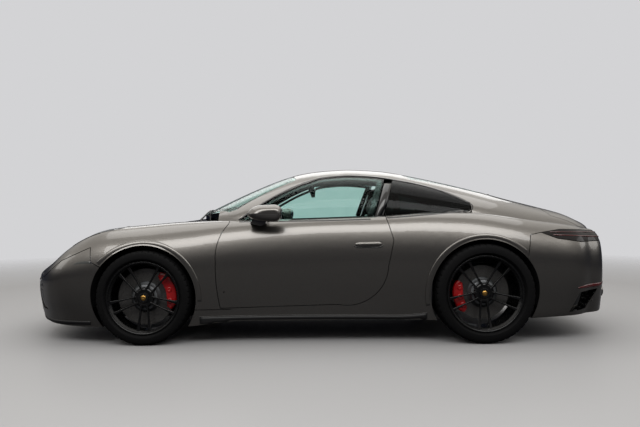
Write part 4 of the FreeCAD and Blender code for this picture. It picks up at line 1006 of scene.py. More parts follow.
class COUPE_OT_window_trim(bpy.types.Operator):
    """Black surrounds of the side windows, pillar covers and belt seals"""
    bl_idname = "coupe.window_trim"
    bl_label = "Window trim"

    def execute(self, context):
        quarter = skin_of("quarter_glasses")
        for side, word in SIDES:
            look = (0, -side, 0)
            door = "door_%s" % word
            tree = skin_of("body_side_%s" % word)
            glass = skin_of("door_glass_%s" % word)
            for name, points, count, near, far in (("top", WINDOW_TOP, 90, 0.0005, 0.011),
                                                   ("tail", WINDOW_TAIL, 16, 0.0005, 0.010),
                                                   ("belt", WINDOW_BELT, 40, -0.0005, 0.009)):
                line = side_line(side, points, count)
                laid_band("window_%s_%s_trim" % (word, name), tree, beside(line, near), beside(line, far), look,
                          gloss_black_plastic())
            sill = side_line(side, [(-0.590, 0.8845), (-0.30, 0.8865), (0.05, 0.890), (0.372, 0.8985)], 60)
            laid_band(door + "_belt_seal", skin_of(door), beside(sill, -0.0075), beside(sill, 0.0005), look,
                      gloss_black_plastic(), door)
            # the black band along the door glass's top edge is painted shade: it stands in for the shaded roof edge
            # seen through the glass
            over = side_line(side, [(-0.585, 0.895)] + WINDOW_TOP[1:8] + [(0.50, 1.2035)], 70)
            frit_and_shade_band(door + "_glass_edge", glass, beside(over, -0.027), beside(over, -0.0075), look, door)
            over = side_line(side, [(0.600, 1.187)] + WINDOW_TOP[9:], 36)
            frit_and_shade_band("quarter_%s_glass_edge" % word, quarter, beside(over, -0.024), beside(over, -0.003), look)
            front_edge = side_line(side, [(0.4040, 0.906), (0.4505, 1.045), (0.5005, 1.194)], 24)
            rear_edge = side_line(side, [(0.4685, 0.912), (0.5137, 1.050), (0.5575, 1.184)], 24)
            self.pillar(side, word, front_edge, rear_edge, glass, quarter)
            frit_and_shade_band(door + "_glass_back", glass, beside(front_edge, 0.055), beside(front_edge, 0.010), look, door, 4)
            frit_and_shade_band("quarter_%s_glass_front" % word, quarter, beside(rear_edge, -0.006), beside(rear_edge, -0.034), look,
                 across=4)
            self.quarter_panel(side, word, quarter)
        return {"FINISHED"}

    def pillar(self, side, word, front_edge, rear_edge, glass, quarter):
        """The roof pillar between the panes, with its gloss cover and its padded inner side."""
        look = (0, -side, 0)
        cover = []
        inner = []
        for ahead, behind in zip(front_edge, rear_edge):
            first = on_skin(glass, ahead + Vector((-0.012, 0, 0)), look)[0]
            last = on_skin(quarter, behind + Vector((0.012, 0, 0)), look)[0]
            run = last - first
            out = Vector((run.y, -run.x, 0)).normalized()
            if out.y * side < 0:
                out = -out
            a, b = first + run * 0.17, last - run * 0.14
            cover.append([a + out * 0.0005, a + out * 0.0030, a.lerp(b, 0.5) + out * 0.0040, b + out * 0.0030,
                          b + out * 0.0005, b - out * 0.0080, a - out * 0.0080])
            inner.append([a - out * 0.0085, b - out * 0.0085, b + run * 0.20 - out * 0.034,
                          a.lerp(b, 0.5) - out * 0.050, a - run * 0.12 - out * 0.034])
        lofted("pillar_%s_cover" % word, cover, gloss_black_plastic())
        lofted("pillar_%s_lining" % word, inner, knitted_lining())

    def quarter_panel(self, side, word, quarter):
        """Lined panel inside the rear quarter, which frames its window."""
        outer, inner = ([on_skin(quarter, place, (0, -side, 0))[0] for place in side_line(side, points, 96)]
                        for points in (QUARTER_OUTER, QUARTER_INNER))
        rows = [[point - Vector((0, side * deep, 0))
                 for point, deep in ((far, 0.012), (near, 0.016), (near, 0.026), (far, 0.022))]
                for far, near in zip(outer, inner)]
        lofted("quarter_%s_panel" % word, rows, knitted_lining())


def plan_ring(outline, inset, count):
    """Places round a closed outline in plan, drawn in towards its middle."""
    line = smooth_line([(x, y, ABOVE) for x, y in outline + outline[:1]], count)[:-1]
    middle = sum(line, Vector()) / len(line)
    drawn = []
    for k, point in enumerate(line):
        run = line[(k + 1) % len(line)] - line[k - 1]
        normal = Vector((-run.y, run.x, 0)).normalized()
        if normal.dot(middle - point) < 0:
            normal = -normal
        drawn.append(point + normal * inset)
    return drawn + drawn[:1]


def both(half):
    """A closed outline in plan from its right half."""
    return half + [(x, -y) for x, y in half[-2:0:-1]]


SCREEN = both([(-0.9485, 0), (-0.9215, 0.25), (-0.8465, 0.44), (-0.6865, 0.61), (-0.6265, 0.622), (-0.42, 0.562),
               (-0.2115, 0.50), (-0.1815, 0.47), (-0.2165, 0.25), (-0.2245, 0)])
BACK_GLASS = both([(0.6235, 0), (0.6385, 0.30), (0.7135, 0.46), (0.98, 0.446), (1.2435, 0.43), (1.2935, 0.38),
                   (1.3115, 0)])
DOWN = (0, 0, -1)


class COUPE_OT_screens(bpy.types.Operator):
    """Printed edges of the windscreen and rear window, their seals, and the wipers"""
    bl_idname = "coupe.screens"
    bl_label = "Screens and wipers"

    # where each wiper pivots, where its arm bends down to the blade, and the blade's two ends, in plan
    WIPERS = (((-0.945, -0.36), (-0.898, -0.17), (-0.858, -0.455), (-0.906, 0.12)),
              ((-0.975, 0.10), (-0.900, 0.30), (-0.912, 0.02), (-0.812, 0.52)))
    PIVOT = [(-0.012, 0.0125), (0.0, 0.0125), (0.004, 0.0105), (0.006, 0.006), (0.0065, 0.0004), (-0.012, 0.0004)]

    def execute(self, context):
        for node, outline, wide in (("windscreen", SCREEN, 0.045), ("rear_window", BACK_GLASS, 0.032)):
            tree = skin_of(node)
            frit_and_shade_band(node + "_edge", tree, plan_ring(outline, 0.006, 160), plan_ring(outline, wide, 160), DOWN)
            seal = [on_skin(tree, place, DOWN, -0.0012)[0] for place in plan_ring(outline, 0.0035, 160)]
            tube(node + "_seal", seal, 0.0026, gloss_black_plastic(), resolution=2)
        glass = skin_of("windscreen", "cowl", "hood")
        for number, places in enumerate(self.WIPERS):
            self.wiper(glass, "wiper_%d" % number, *(Vector(place) for place in places))
        return {"FINISHED"}

    def wiper(self, tree, name, pivot, middle, low, high):
        def above(place, lift):
            return on_skin(tree, (*place, ABOVE), DOWN, lift)[0]
        start = above(pivot, 0.002)
        bend = above(middle, 0.014)
        lift = Vector((0, 0, 0.003))
        arm = smooth_line([start + Vector((0, 0, 0.004)), start.lerp(bend, 0.35) + lift, start.lerp(bend, 0.7) + lift,
                           above(middle, 0.013)], 16)
        across = (above(high, 0) - above(low, 0)).cross(Vector((0, 0, 1)))
        rod(name + "_arm", arm, [0.0085 - 0.0040 * k / 15 for k in range(16)],
            [0.0034 - 0.0010 * k / 15 for k in range(16)], across, moulded_black_plastic(), round_off=0.5)
        across = Vector((1, 0, 0.4))
        blade = [above(low.lerp(high, k / 24), 0.0066) for k in range(25)]
        rod(name + "_blade", blade, 0.0050, 0.0024, across, moulded_black_plastic(), round_off=0.6)
        edge = [above(low.lerp(high, 0.01 + 0.98 * k / 24), 0.0030) for k in range(25)]
        rod(name + "_rubber", edge, 0.0012, 0.0026, across, tyre_rubber(), round_off=0.2)
        lathe(name + "_pivot", self.PIVOT, 32, placed(start, Vector((0, 0, 1)), Vector((1, 0, 0)), Vector((0, 1, 0))),
              moulded_black_plastic())


class COUPE_OT_headlamps(bpy.types.Operator):
    """Lamp units behind the lenses, and the front side markers"""
    bl_idname = "coupe.headlamps"
    bl_label = "Headlamps"

    # profiles of the lamp units, outward from the lens
    PROJECTOR = [(-0.050, 0.044), (-0.024, 0.044), (-0.020, 0.041), (-0.024, 0.037), (-0.030, 0.035),
                 (-0.030, 0.0004), (-0.050, 0.0004)]
    LENS = [(-0.031, 0.0340), (-0.026, 0.0325), (-0.020, 0.026), (-0.0165, 0.016), (-0.0155, 0.0004),
            (-0.034, 0.0004), (-0.034, 0.0340)]
    RING = [(-0.0225, 0.0425), (-0.0185, 0.0405), (-0.0200, 0.0385), (-0.0240, 0.0395)]
    POINT = [(-0.040, 0.0150), (-0.022, 0.0150), (-0.019, 0.0135), (-0.023, 0.0120), (-0.024, 0.0004),
             (-0.040, 0.0004)]
    CHIP = [(-0.0245, 0.0105), (-0.0205, 0.0085), (-0.0195, 0.0040), (-0.0195, 0.0004), (-0.026, 0.0004),
            (-0.026, 0.0105)]
    POINTS = ((-0.082, 0.034), (-0.070, -0.046), (0.078, 0.036), (0.086, -0.040))  # places of the small lamps

    def execute(self, context):
        bumper = skin_of("front_bumper")
        for side, word in SIDES:
            lens = skin_of("headlamp_%s" % word)
            low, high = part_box("headlamp_%s" % word)
            centre = (Vector(low) + Vector(high)) / 2
            normal = on_skin(lens, centre + Vector((-0.3, 0, 0.6)), (0.3, 0, -0.6))[1]
            middle = on_skin(lens, centre + normal * 0.4, -normal)[0]
            along_x = (Vector((1, 0, 0)) - normal * normal.x).normalized()
            along_y = normal.cross(along_x) * side
            if along_y.y * side < 0:
                along_y = -along_y

            def unit(name, east, north, profile, material, steps=48):
                place = placed(middle + along_x * east + along_y * north, normal, along_x, along_y)
                lathe("%s_%s" % (name, word), profile, steps, place, material)
            unit("lamp_projector", 0.0, -0.006, self.PROJECTOR, gloss_black_plastic())
            unit("lamp_lens", 0.0, -0.006, self.LENS, clear_polycarbonate())
            unit("lamp_ring", 0.0, -0.006, self.RING, satin_chrome(), 72)
            for k, (east, north) in enumerate(self.POINTS):
                unit("lamp_point_%d" % k, east, north, self.POINT, satin_chrome(), 6)
                unit("lamp_chip_%d" % k, east, north, self.CHIP, clear_polycarbonate(), 24)
            self.rim(word, lens, middle, normal, along_x, along_y)
            top, under = (side_line(side, list(zip((-1.764, x, -1.690, -1.640, -1.585), heights)), 24)
                          for x, heights in ((-1.738, (0.583, 0.598, 0.606, 0.6045, 0.600)),
                                             (-1.735, (0.580, 0.586, 0.589, 0.589, 0.588))))
            laid_band("side_marker_%s" % word, bumper, under, top, (0, -side, 0), clear_polycarbonate(),
                      rise=0.0018, across=4)
            laid_band("side_marker_%s_chip" % word, bumper, under[17:], top[17:], (0, -side, 0), satin_chrome(),
                      rise=0.0026)
        return {"FINISHED"}

    def rim(self, word, lens, middle, normal, along_x, along_y, steps=72):
        """A black band round the lens's edge and the seal outside it."""
        around = skin_of("headlamp_%s" % word, "fender_%s" % word, "hood", "front_bumper")
        aways = [along_x * math.cos(math.tau * k / steps) + along_y * math.sin(math.tau * k / steps)
                 for k in range(steps + 1)]

        def above(away, distance):
            return middle + away * distance + normal * 0.25
        reach = []
        for away in aways[:steps]:
            low, high = 0.02, 0.40
            for _ in range(12):
                half = (low + high) / 2
                if lens.ray_cast(above(away, half), -normal)[0] is not None:
                    low = half
                else:
                    high = half
            reach.append(low)
        seal = []
        band = []
        for k, away in enumerate(aways):
            r = sum(reach[(k + i) % steps] for i in (-2, -1, 0, 1, 2)) / 5
            seal.append(on_skin(around, above(away, r + 0.0015), -normal, 0.0004)[0])
            band.append([on_skin(lens, above(away, r - inset), -normal, lift)[0] for inset, lift in (
                (0.0005, 0.0004), (0.004, 0.0012), (0.014, 0.0010), (0.018, 0.0002), (0.018, -0.0006),
                (0.0005, -0.0006))])
        lofted("lamp_band_%s" % word, band, gloss_black_plastic())
        tube("lamp_seal_%s" % word, seal, 0.0030, gloss_black_plastic(), resolution=2)


class COUPE_OT_tail(bpy.types.Operator):
    """Light lines, reflectors, vent slats and exhaust rims"""
    bl_idname = "coupe.tail"
    bl_label = "Tail"

    HALF = 0.84  # half width of the light lines
    CORNER = 0.62  # where they start to bend
    RIM = [(-0.060, 0.0425), (-0.004, 0.0455), (0.002, 0.0462), (0.005, 0.0452), (0.004, 0.0405), (-0.004, 0.0368),
           (-0.060, 0.0362), (-0.061, 0.0400)]

    def execute(self, context):
        lamp = skin_of("tail_lamp")
        for name, z_in, drop, lift, rise, radius in (("upper", 0.786, 0.010, 0.0, 0.0012, 0.0028),
                                                     ("lower", 0.752, 0.005, 0.022, 0.0016, 0.0042)):
            line = []
            for k in range(121):
                y = self.HALF * (2 * k / 120 - 1)
                bend = max(0.0, abs(y) - self.CORNER) / (self.HALF - self.CORNER)
                line.append(on_skin(lamp, (2.9 - 1.25 * (abs(y) / self.HALF) ** 3, y * 1.12,
                                           z_in + drop * bend + lift * bend * bend),
                                    (-1, -0.42 * y / self.HALF, 0), rise)[0])
            tube("tail_line_" + name, line, radius, red_acrylic(), resolution=1)
        bumper = skin_of("rear_bumper")
        for side, word in SIDES:
            low = []
            high = []
            for k in range(26):
                t = k / 25
                x = 1.910 + 0.345 * t
                z = 0.393 + 0.020 * t
                tall = 0.026 * min(1.0, 0.25 + 3.5 * t) * min(1.0, 0.35 + 4.0 * (1 - t))
                low.append((x, side * 1.1, z - tall * 0.45))
                high.append((x, side * 1.1, z + tall * 0.55))
            laid_band("reflector_%s" % word, bumper, low, high, (-0.25, -side, 0), red_acrylic(),
                      rise=0.0028, across=4)
            for k in range(4):
                x_front = 1.832 + 0.035 * k
                x_rear = 1.965 + 0.020 * k
                path = [on_skin(bumper, (x_front + (x_rear - x_front) * i / 8, side * 1.2, 0.252 + 0.030 * k),
                                (0, -side, 0), -0.016)[0] for i in range(9)]
                rod("vent_%s_slat_%d" % (word, k), path, 0.0065, 0.0035, Vector((0, side * 0.5, 1)),
                    gloss_black_plastic(), round_off=0.4)
        for k, y in enumerate((-0.330, -0.230, 0.230, 0.330)):
            place = placed(Vector((2.2545, y, 0.310)), Vector((1, 0, 0)), Vector((0, 1, 0)), Vector((0, 0, 1)))
            lathe("exhaust_rim_%d" % k, self.RIM, 72, place, brushed_steel())
        return {"FINISHED"}


class COUPE_OT_handles(bpy.types.Operator):
    """Flush door handles in their hollows"""
    # Flush door handles, each with a black band under it that is painted shadow of its hollow
    bl_idname = "coupe.handles"
    bl_label = "Door handles"

    def execute(self, context):
        for side, word in SIDES:
            node = "door_%s" % word
            tree = skin_of(node)
            look = (0, -side, 0)
            steps = 26
            rows = []
            for i in range(steps + 1):
                t = i / steps
                half = 0.0168 * min(1.0, (t * 7) ** 0.5 if t < 0.14 else 1.0) * min(1.0, ((1 - t) * 9) ** 0.5)
                proud = 0.0040 + 0.0115 * math.sin(math.pi * t) ** 0.5
                row = []
                for k in range(12):
                    rise, level = polar(1.0, math.tau * k / 12)
                    spot, normal = on_skin(tree, (0.252 + 0.196 * t, side * 1.3,
                                                  0.714 + 0.004 * t + max(half, 0.0012) * rise), look)
                    row.append(spot + normal * (proud * level ** 0.6 if level > 0.01 else -0.0015))
                rows.append(row)
            subdivided(lofted("handle_%s_bar" % word, rows, metallic_clear_coat(), node))
            # the black band under the handle is painted shadow, standing in for the shade of its hollow
            low = side_line(side, [(0.243, 0.702), (0.262, 0.692), (0.35, 0.689), (0.44, 0.692), (0.459, 0.706)], 30)
            high = side_line(side, [(0.243, 0.708), (0.262, 0.7), (0.35, 0.698), (0.44, 0.7), (0.459, 0.712)], 30)
            laid_band("handle_%s_shadow" % word, tree, low, high, look, gloss_black_plastic(), node, rise=0.0008)
            sensor = side_line(side, [(0.43, 0.7345), (0.44, 0.737), (0.450, 0.7345)], 6)
            tube("handle_%s_sensor" % word, [on_skin(tree, place, look, 0.001)[0] for place in sensor], 0.0016,
                 gloss_black_plastic(), node)
        return {"FINISHED"}


class COUPE_OT_mirrors(bpy.types.Operator):
    """Mirror glasses, their dark feet and the shells' seams"""
    bl_idname = "coupe.mirrors"
    bl_label = "Door mirrors"

    FOOT = Vector((-0.452, 0.824, 0.862))  # the stalk's middle at the door, on the right side

    def execute(self, context):
        for side, word in SIDES:
            body = "door_%s" % word
            node = "mirror_%s" % word
            tree = skin_of(node)
            rows = []
            for k in range(13):
                t = k / 12
                swell = math.sin(math.pi * min(max(t, 0.02), 0.98)) ** 0.35
                low = 0.9400 - 0.0400 * swell
                high = 0.9400 + 0.0420 * swell
                rows.append([on_skin(tree, (0.0, side * (0.872 + 0.108 * t), low + (high - low) * i / 8), (-1, 0, 0))[0]
                             + Vector((0.0018, 0, 0)) for i in range(9)])
            mesh = mesh_of(loft(rows, closed=False, capped=False))
            glass = piece(node + "_glass", mesh, mirror_glass(), body)
            shell = glass.modifiers.new("thick", "SOLIDIFY")
            shell.thickness = 0.003
            shell.offset = 0.0
            edge = rows[0] + [row[-1] for row in rows[1:]] + rows[-1][-2::-1] + [row[0] for row in rows[-2:0:-1]]
            tube(node + "_rim", edge + edge[:1], 0.0028, gloss_black_plastic(), body)
            seam = []
            for i in range(40):
                x, y = polar(1.0, math.tau * i / 39)
                seam.append(on_skin(tree, (-0.37 + 0.30 * x, side * (0.925 + 0.3 * y), 0.930), (-x, -side * y, 0.0),
                                    0.0006)[0])
            tube(node + "_seam", seam, 0.0011, gloss_black_plastic(), body)
            self.foot(side, node, body)
        return {"FINISHED"}

    def foot(self, side, node, body):
        """The satin black stalk from the door to the shell."""
        spot = on_skin(skin_of(body), (self.FOOT.x, side * 1.2, self.FOOT.z), (0, -side, 0))[0]
        shift = spot.y - side * self.FOOT.y
        rows = []
        for k in range(9):
            t = k / 8
            row = []
            for i in range(20):
                along, round_it = polar(1.0, math.tau * i / 20)
                x = -0.452 + 0.022 * t + (0.056 - 0.014 * t + 0.012 * t * t) * along
                y = 0.815 + 0.078 * t ** 1.25 + (0.019 + 0.004 * t) * round_it
                z = 0.852 + 0.066 * t + 0.020 * round_it * (1 - t)
                row.append(Vector((x, side * y + shift * (1 - t), z)))
            rows.append(row)
        subdivided(lofted(node + "_stalk", rows, moulded_black_plastic(), body))


def cheek_size(across, shrink):
    """How large a pad's outline is at a share across of its half width: it draws in at both cheeks."""
    return (1 - shrink) + shrink * (1 - abs(across) ** 5) ** 0.5


def scaled(line, middle, y, size):
    return [Vector((middle.x + (p.x - middle.x) * size, y, middle.z + (p.z - middle.z) * size)) for p in line]


def pad_rows(outline, centre_y, half, crown=0.0, sections=13, shrink=0.30, count=44):
    """Sections of a stuffed form: a side outline that swells in the middle and draws in at both cheeks."""
    line = smooth_line([(x, 0.0, z) for x, z in outline + outline[:1]], count + 1)[:-1]
    middle = sum(line, Vector()) / len(line)
    rows = []
    for k in range(sections):
        t = math.sin(math.pi * (k / (sections - 1) - 0.5))
        size = cheek_size(t, shrink) + crown * (1 - t * t)
        if k in (0, sections - 1):
            size = (1 - shrink) * 0.72
        rows.append(scaled(line, middle, centre_y + half * t, size))
    return rows


def stuffed(thing, pressure, cap, voxel=0.007, frames=16):
    """Blows a closed form up as sewn leather over foam; no point moves further than cap."""
    start = thing.modifiers.new("remesh", "REMESH")
    start.mode = "VOXEL"
    start.voxel_size = voxel
    scene = bpy.context.scene
    mesh = bpy.data.meshes.new_from_object(thing.evaluated_get(bpy.context.evaluated_depsgraph_get()))
    thing.modifiers.clear()
    old = thing.data
    material = old.materials[0]
    thing.data = mesh
    bpy.data.meshes.remove(old)
    rest = [vertex.co.copy() for vertex in mesh.vertices]
    cloth = thing.modifiers.new("cloth", "CLOTH")
    cloth.settings.use_pressure = True
    cloth.settings.uniform_pressure_force = pressure
    cloth.settings.effector_weights.gravity = 0.0
    cloth.settings.quality = 4
    cloth.collision_settings.use_collision = False
    cloth.point_cache.frame_start = 1
    cloth.point_cache.frame_end = frames
    for number in range(1, frames + 1):
        scene.frame_set(number)
    result = thing.evaluated_get(bpy.context.evaluated_depsgraph_get())
    moved = [vertex.co.copy() for vertex in result.to_mesh().vertices]
    result.to_mesh_clear()
    thing.modifiers.clear()
    scene.frame_set(1)
    for vertex, home, place in zip(mesh.vertices, rest, moved):
        step = place - home
        if step.length > cap:
            step = step.normalized() * cap
        vertex.co = home + step
    mesh.materials.clear()
    mesh.materials.append(material)
    for face in mesh.polygons:
        face.use_smooth = True
    return subdivided(thing)


class COUPE_OT_seats(bpy.types.Operator):
    """Sports seats: stuffed cushions, bolsters, backs and head pads, with sewn channels"""
    bl_idname = "coupe.seats"
    bl_label = "Seats"

    APART = 0.365  # from the car's middle to a seat's
    # outlines in side view: x, z
    CUSHION = [(-0.286, 0.330), (0.225, 0.330), (0.235, 0.392), (0.100, 0.402), (-0.070, 0.414), (-0.200, 0.428),
               (-0.282, 0.418), (-0.300, 0.380)]
    BACK = [(0.205, 0.375), (0.290, 0.370), (0.385, 0.600), (0.470, 0.860), (0.476, 0.925), (0.435, 0.935),
            (0.398, 0.870), (0.345, 0.715), (0.275, 0.545)]
    HEAD = [(0.432, 0.952), (0.480, 0.940), (0.518, 0.990), (0.528, 1.050), (0.518, 1.086), (0.490, 1.090),
            (0.462, 1.050), (0.444, 1.000)]
    BOLSTER = [(-0.270, 0.398), (0.235, 0.392), (0.226, 0.452), (0.100, 0.462), (-0.100, 0.464), (-0.250, 0.446)]
    WING = [(0.205, 0.440), (0.285, 0.420), (0.360, 0.600), (0.428, 0.830), (0.400, 0.855), (0.345, 0.790),
            (0.285, 0.690), (0.235, 0.560)]
    BACK_SHELL = [(0.300, 0.380), (0.345, 0.385), (0.420, 0.600), (0.505, 0.860), (0.530, 0.960), (0.520, 0.975),
                  (0.500, 0.955), (0.478, 0.870), (0.395, 0.620)]
    PAN = [(-0.270, 0.296), (0.300, 0.296), (0.330, 0.380), (0.240, 0.372), (-0.200, 0.366), (-0.290, 0.352)]
    # name, outline, half width, crown, offset from the seat's middle
    PADS = (("cushion", CUSHION, 0.172, 0.03, 0.0), ("back", BACK, 0.176, 0.02, 0.0), ("head", HEAD, 0.112, 0.03, 0.0),
            ("bolster_in", BOLSTER, 0.036, 0.06, 0.208), ("bolster_out", BOLSTER, 0.036, 0.06, -0.208),
            ("wing_in", WING, 0.034, 0.05, 0.212), ("wing_out", WING, 0.034, 0.05, -0.212))

    def execute(self, context):
        for stem, outline, half, crown, offset in self.PADS:
            first = None
            for side, word in SIDES:
                name = "seat_%s_%s" % (word, stem)
                centre = side * self.APART
                if first is None:
                    rows = pad_rows(outline, centre + offset, half, crown)
                    thing = lofted(name, rows, grained_leather())
                    stuffed(thing, 3.0, 0.006 if half > 0.1 else 0.003)
                    self.channels(thing, stem, centre)
                    first = thing
                else:
                    mesh = first.data.copy()
                    for vertex in mesh.vertices:
                        vertex.co.y += 2 * self.APART
                    thing = subdivided(piece(name, mesh, grained_leather()))
                self.piping(name, outline, centre + offset, half)
        for side, word in SIDES:
            self.shell(side * self.APART, "seat_%s" % word)
        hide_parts("front_seats")
        return {"FINISHED"}

    def channels(self, thing, stem, centre):
        """Sewn lines across the middle panel of a cushion or back."""
        if stem not in ("cushion", "back"):
            return
        for vertex in thing.data.vertices:
            p = vertex.co
            if abs(p.y - centre) > 0.125:
                continue
            if stem == "cushion" and p.z > 0.385:
                for k in range(6):
                    vertex.co.z -= self.groove(p.x + 0.215 - 0.072 * k)
            if stem == "back" and p.x < 0.250 + (p.z - 0.375) * 0.345:
                for k in range(6):
                    vertex.co.x += self.groove(p.z - 0.480 - 0.072 * k)

    def groove(self, away):
        """Depth of a sewn line at a distance from it."""
        return 0.0065 * math.exp(-(away / 0.0075) ** 2)

    def piping(self, name, outline, centre, half):
        """Beads sewn round both cheeks of a pad."""
        line = smooth_line([(x, 0.0, z) for x, z in outline + outline[:1]], 49)
        middle = sum(line[:-1], Vector()) / 48
        for k, edge in enumerate((-0.93, 0.93)):
            bead = scaled(line, middle, centre + half * edge, cheek_size(edge, 0.3) + 0.01)
            tube("%s_piping_%d" % (name, k), bead, 0.0026, grained_leather(), resolution=1)

    def shell(self, centre, name):
        """The moulded seat frame: side valances, back shell, runners and the belt buckle."""
        plastic = moulded_black_plastic()
        subdivided(lofted(name + "_back_shell", pad_rows(self.BACK_SHELL, centre, 0.205, shrink=0.35), plastic))
        subdivided(lofted(name + "_pan", pad_rows(self.PAN, centre, 0.226, sections=9, shrink=0.14), plastic))
        for k, y in enumerate((-0.185, 0.185)):
            path = [Vector((-0.245 + 0.445 * i / 6, centre + y, 0.190)) for i in range(7)]
            softened(rod("%s_rail_%d" % (name, k), path, 0.014, 0.0165, Vector((0, 1, 0)), brushed_steel(),
                         round_off=0.5), 0.001)
            for end, x in enumerate((-0.20, 0.15)):
                foot = [Vector((x, centre + y, 0.205 + 0.095 * i / 3)) for i in range(4)]
                rod("%s_post_%d%d" % (name, k, end), foot, [0.020, 0.018, 0.018, 0.022], 0.010, Vector((1, 0, 0)),
                    stoved_primer(), round_off=0.5)
        inner = centre - math.copysign(0.262, centre)
        stalk, head = ([Vector((x, inner, z)) for x, z in places] for places in (
            ((0.225, 0.300), (0.205, 0.360), (0.190, 0.410)), ((0.188, 0.408), (0.183, 0.428), (0.176, 0.458))))
        rod(name + "_stalk", stalk, 0.011, 0.004, Vector((1, 0, 0)), plastic, round_off=0.6)
        softened(rod(name + "_buckle", head, 0.0155, 0.0085, Vector((1, 0, 0)), plastic,
                     round_off=0.5), 0.002)


def cabin_pad(name, rows, body="root", levels=1):
    return subdivided(lofted(name, rows, grained_leather(), body), levels)


class COUPE_OT_cockpit(bpy.types.Operator):
    """Steering wheel, instruments, vents, screen, console, pedals, mirror and visors"""
    bl_idname = "coupe.cockpit"
    bl_label = "Cockpit"

    CENTRE = Vector((-0.2565, -0.365, 0.790))  # of the steering wheel
    AXIS = Vector((-1.0, 0.0, -0.42)).normalized()
    # profiles outward from a centre
    STEERING_PAD = [(-0.030, 0.040), (-0.010, 0.062), (0.004, 0.064), (0.012, 0.056), (0.016, 0.040), (0.018, 0.020),
                    (0.0185, 0.0004), (-0.030, 0.0004)]
    COLUMN = [(-0.214, 0.0004), (-0.214, 0.0205), (-0.060, 0.0205), (-0.050, 0.030), (-0.026, 0.034),
              (-0.026, 0.0004)]
    SELECTOR = [(-0.015, 0.0004), (-0.015, 0.024), (-0.004, 0.020), (0.010, 0.0125), (0.030, 0.0120), (0.046, 0.0165),
                (0.066, 0.0195), (0.080, 0.0170), (0.087, 0.0090), (0.088, 0.0004)]

    def execute(self, context):
        self.steering()
        self.instruments()
        self.vents()
        self.console()
        self.pedals()
        self.overhead()
        self.door_trims()
        return {"FINISHED"}

    def disc_place(self, centre, axis):
        """Turns (along the axis, and two directions across it) into a point."""
        aside = Vector((0, 1, 0))
        return placed(centre, axis, aside, axis.cross(aside).normalized())

    def steering(self):
        body = "steering_wheel"
        place = self.disc_place(self.CENTRE, -self.AXIS)
        rows = []
        for i in range(72):
            angle = math.tau * i / 72
            grip = 0.0155 + 0.0022 * max(0.0, math.cos(2 * (angle - math.radians(28)))) ** 4
            flat = 0.008 * max(0.0, -math.sin(angle) - 0.86) / 0.14
            row = []
            for k in range(14):
                across, along = polar(grip, math.tau * k / 14)
                row.append(place(along, *polar(0.1800 + across - flat, angle)))
            rows.append(row)
        ring = piece("steering_rim", mesh_of(loft(rows, capped=False, looped=True)), grained_leather(), body)
        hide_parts(body)
        stitch = [place(0.0, *polar(0.1640, math.tau * i / 96)) for i in range(97)]
        tube("steering_stitch", stitch, 0.0011, satin_chrome(), body, 1)
        for k, degrees in enumerate((4, 176, 270)):
            angle = math.radians(degrees)
            path = [place(-0.012 * (1 - r / 0.175), *polar(r, angle)) for r in (0.045, 0.075, 0.105, 0.135, 0.170)]
            wide = place(0, -math.sin(angle), math.cos(angle)) - place(0, 0, 0)
            subdivided(rod("steering_spoke_%d" % k, path, [0.030, 0.022, 0.016, 0.014, 0.017],
                           [0.010, 0.009, 0.008, 0.008, 0.009], wide, gloss_black_plastic(), body, 0.6))
        lathe("steering_pad", self.STEERING_PAD, 56, place, moulded_black_plastic(), body)
        lathe("steering_column", self.COLUMN, 48, place, moulded_black_plastic(), body)

    def instruments(self):
        hood = []
        for k in range(17):
            y, z = polar(1.0, math.pi * k / 16)
            hood.append([Vector((-0.43 - 0.004 * z + dx, -0.365 + (0.150 + dy) * y, 0.800 + (0.062 + dy) * z + dz))
                         for dx, dy, dz in ((0.0, 0.0, 0.0), (0.012, 0.006, 0.002), (0.0, 0.012, 0.004),
                                            (-0.120, 0.010, 0.000), (-0.120, 0.0, -0.006))])
        subdivided(lofted("instrument_hood", hood, grained_leather()))
        for k, (y, radius) in enumerate(((-0.365, 0.050), (-0.463, 0.038), (-0.267, 0.038))):
            self.dial("dial_%d" % k, y, radius, 2.4 - k)
        face = []
        for k in range(13):
            x = 0.004 * math.sin(math.pi * k / 12) - 0.428
            y = -0.148 + 0.296 * k / 12
            face.append([Vector((x, y, 0.758)), Vector((x - 0.002, y, 0.832)), Vector((-0.440, y, 0.834)),
                         Vector((-0.446, y, 0.756))])
        self.plate("centre_screen", face, 0.003)

    def plate(self, name, rows, round_off):
        softened(piece(name, mesh_of(loft(rows)), gloss_black_plastic(), smooth=False), round_off)

    def dial(self, name, y, radius, lean):
        """A round instrument with its bezel, eleven marks and a needle at the angle lean."""
        place = self.disc_place(Vector((-0.452, y, 0.800)), Vector((1, 0, 0.12)).normalized())
        dish = [(-0.012, radius + 0.004), (0.002, radius + 0.004), (0.004, radius + 0.002), (0.002, radius),
                (-0.004, radius - 0.003), (-0.004, 0.0004), (-0.012, 0.0004)]
        lathe(name, dish, 56, place, gloss_black_plastic())
        bezel = [(0.0035, radius + 0.0035), (0.0055, radius + 0.0020), (0.0045, radius + 0.0008),
                 (0.0030, radius + 0.0015)]
        lathe(name + "_ring", bezel, 56, place, satin_chrome())
        for mark in range(11):
            angle = math.radians(225 - 27 * mark)
            path = [place(-0.0036, *polar(radius * share, angle)) for share in (0.80, 0.86, 0.92)]
            wide = place(0, -math.sin(angle), math.cos(angle)) - place(0, 0, 0)
            rod("%s_mark_%d" % (name, mark), path, 0.0008, 0.0004, wide, satin_chrome())
        needle = [place(-0.0020, *polar(r, lean)) for r in (-0.006, radius * 0.4, radius * 0.82)]
        rod(name + "_needle", needle, [0.0018, 0.0012, 0.0006], 0.0006, Vector((0, math.cos(lean), -math.sin(lean))),
            red_acrylic())

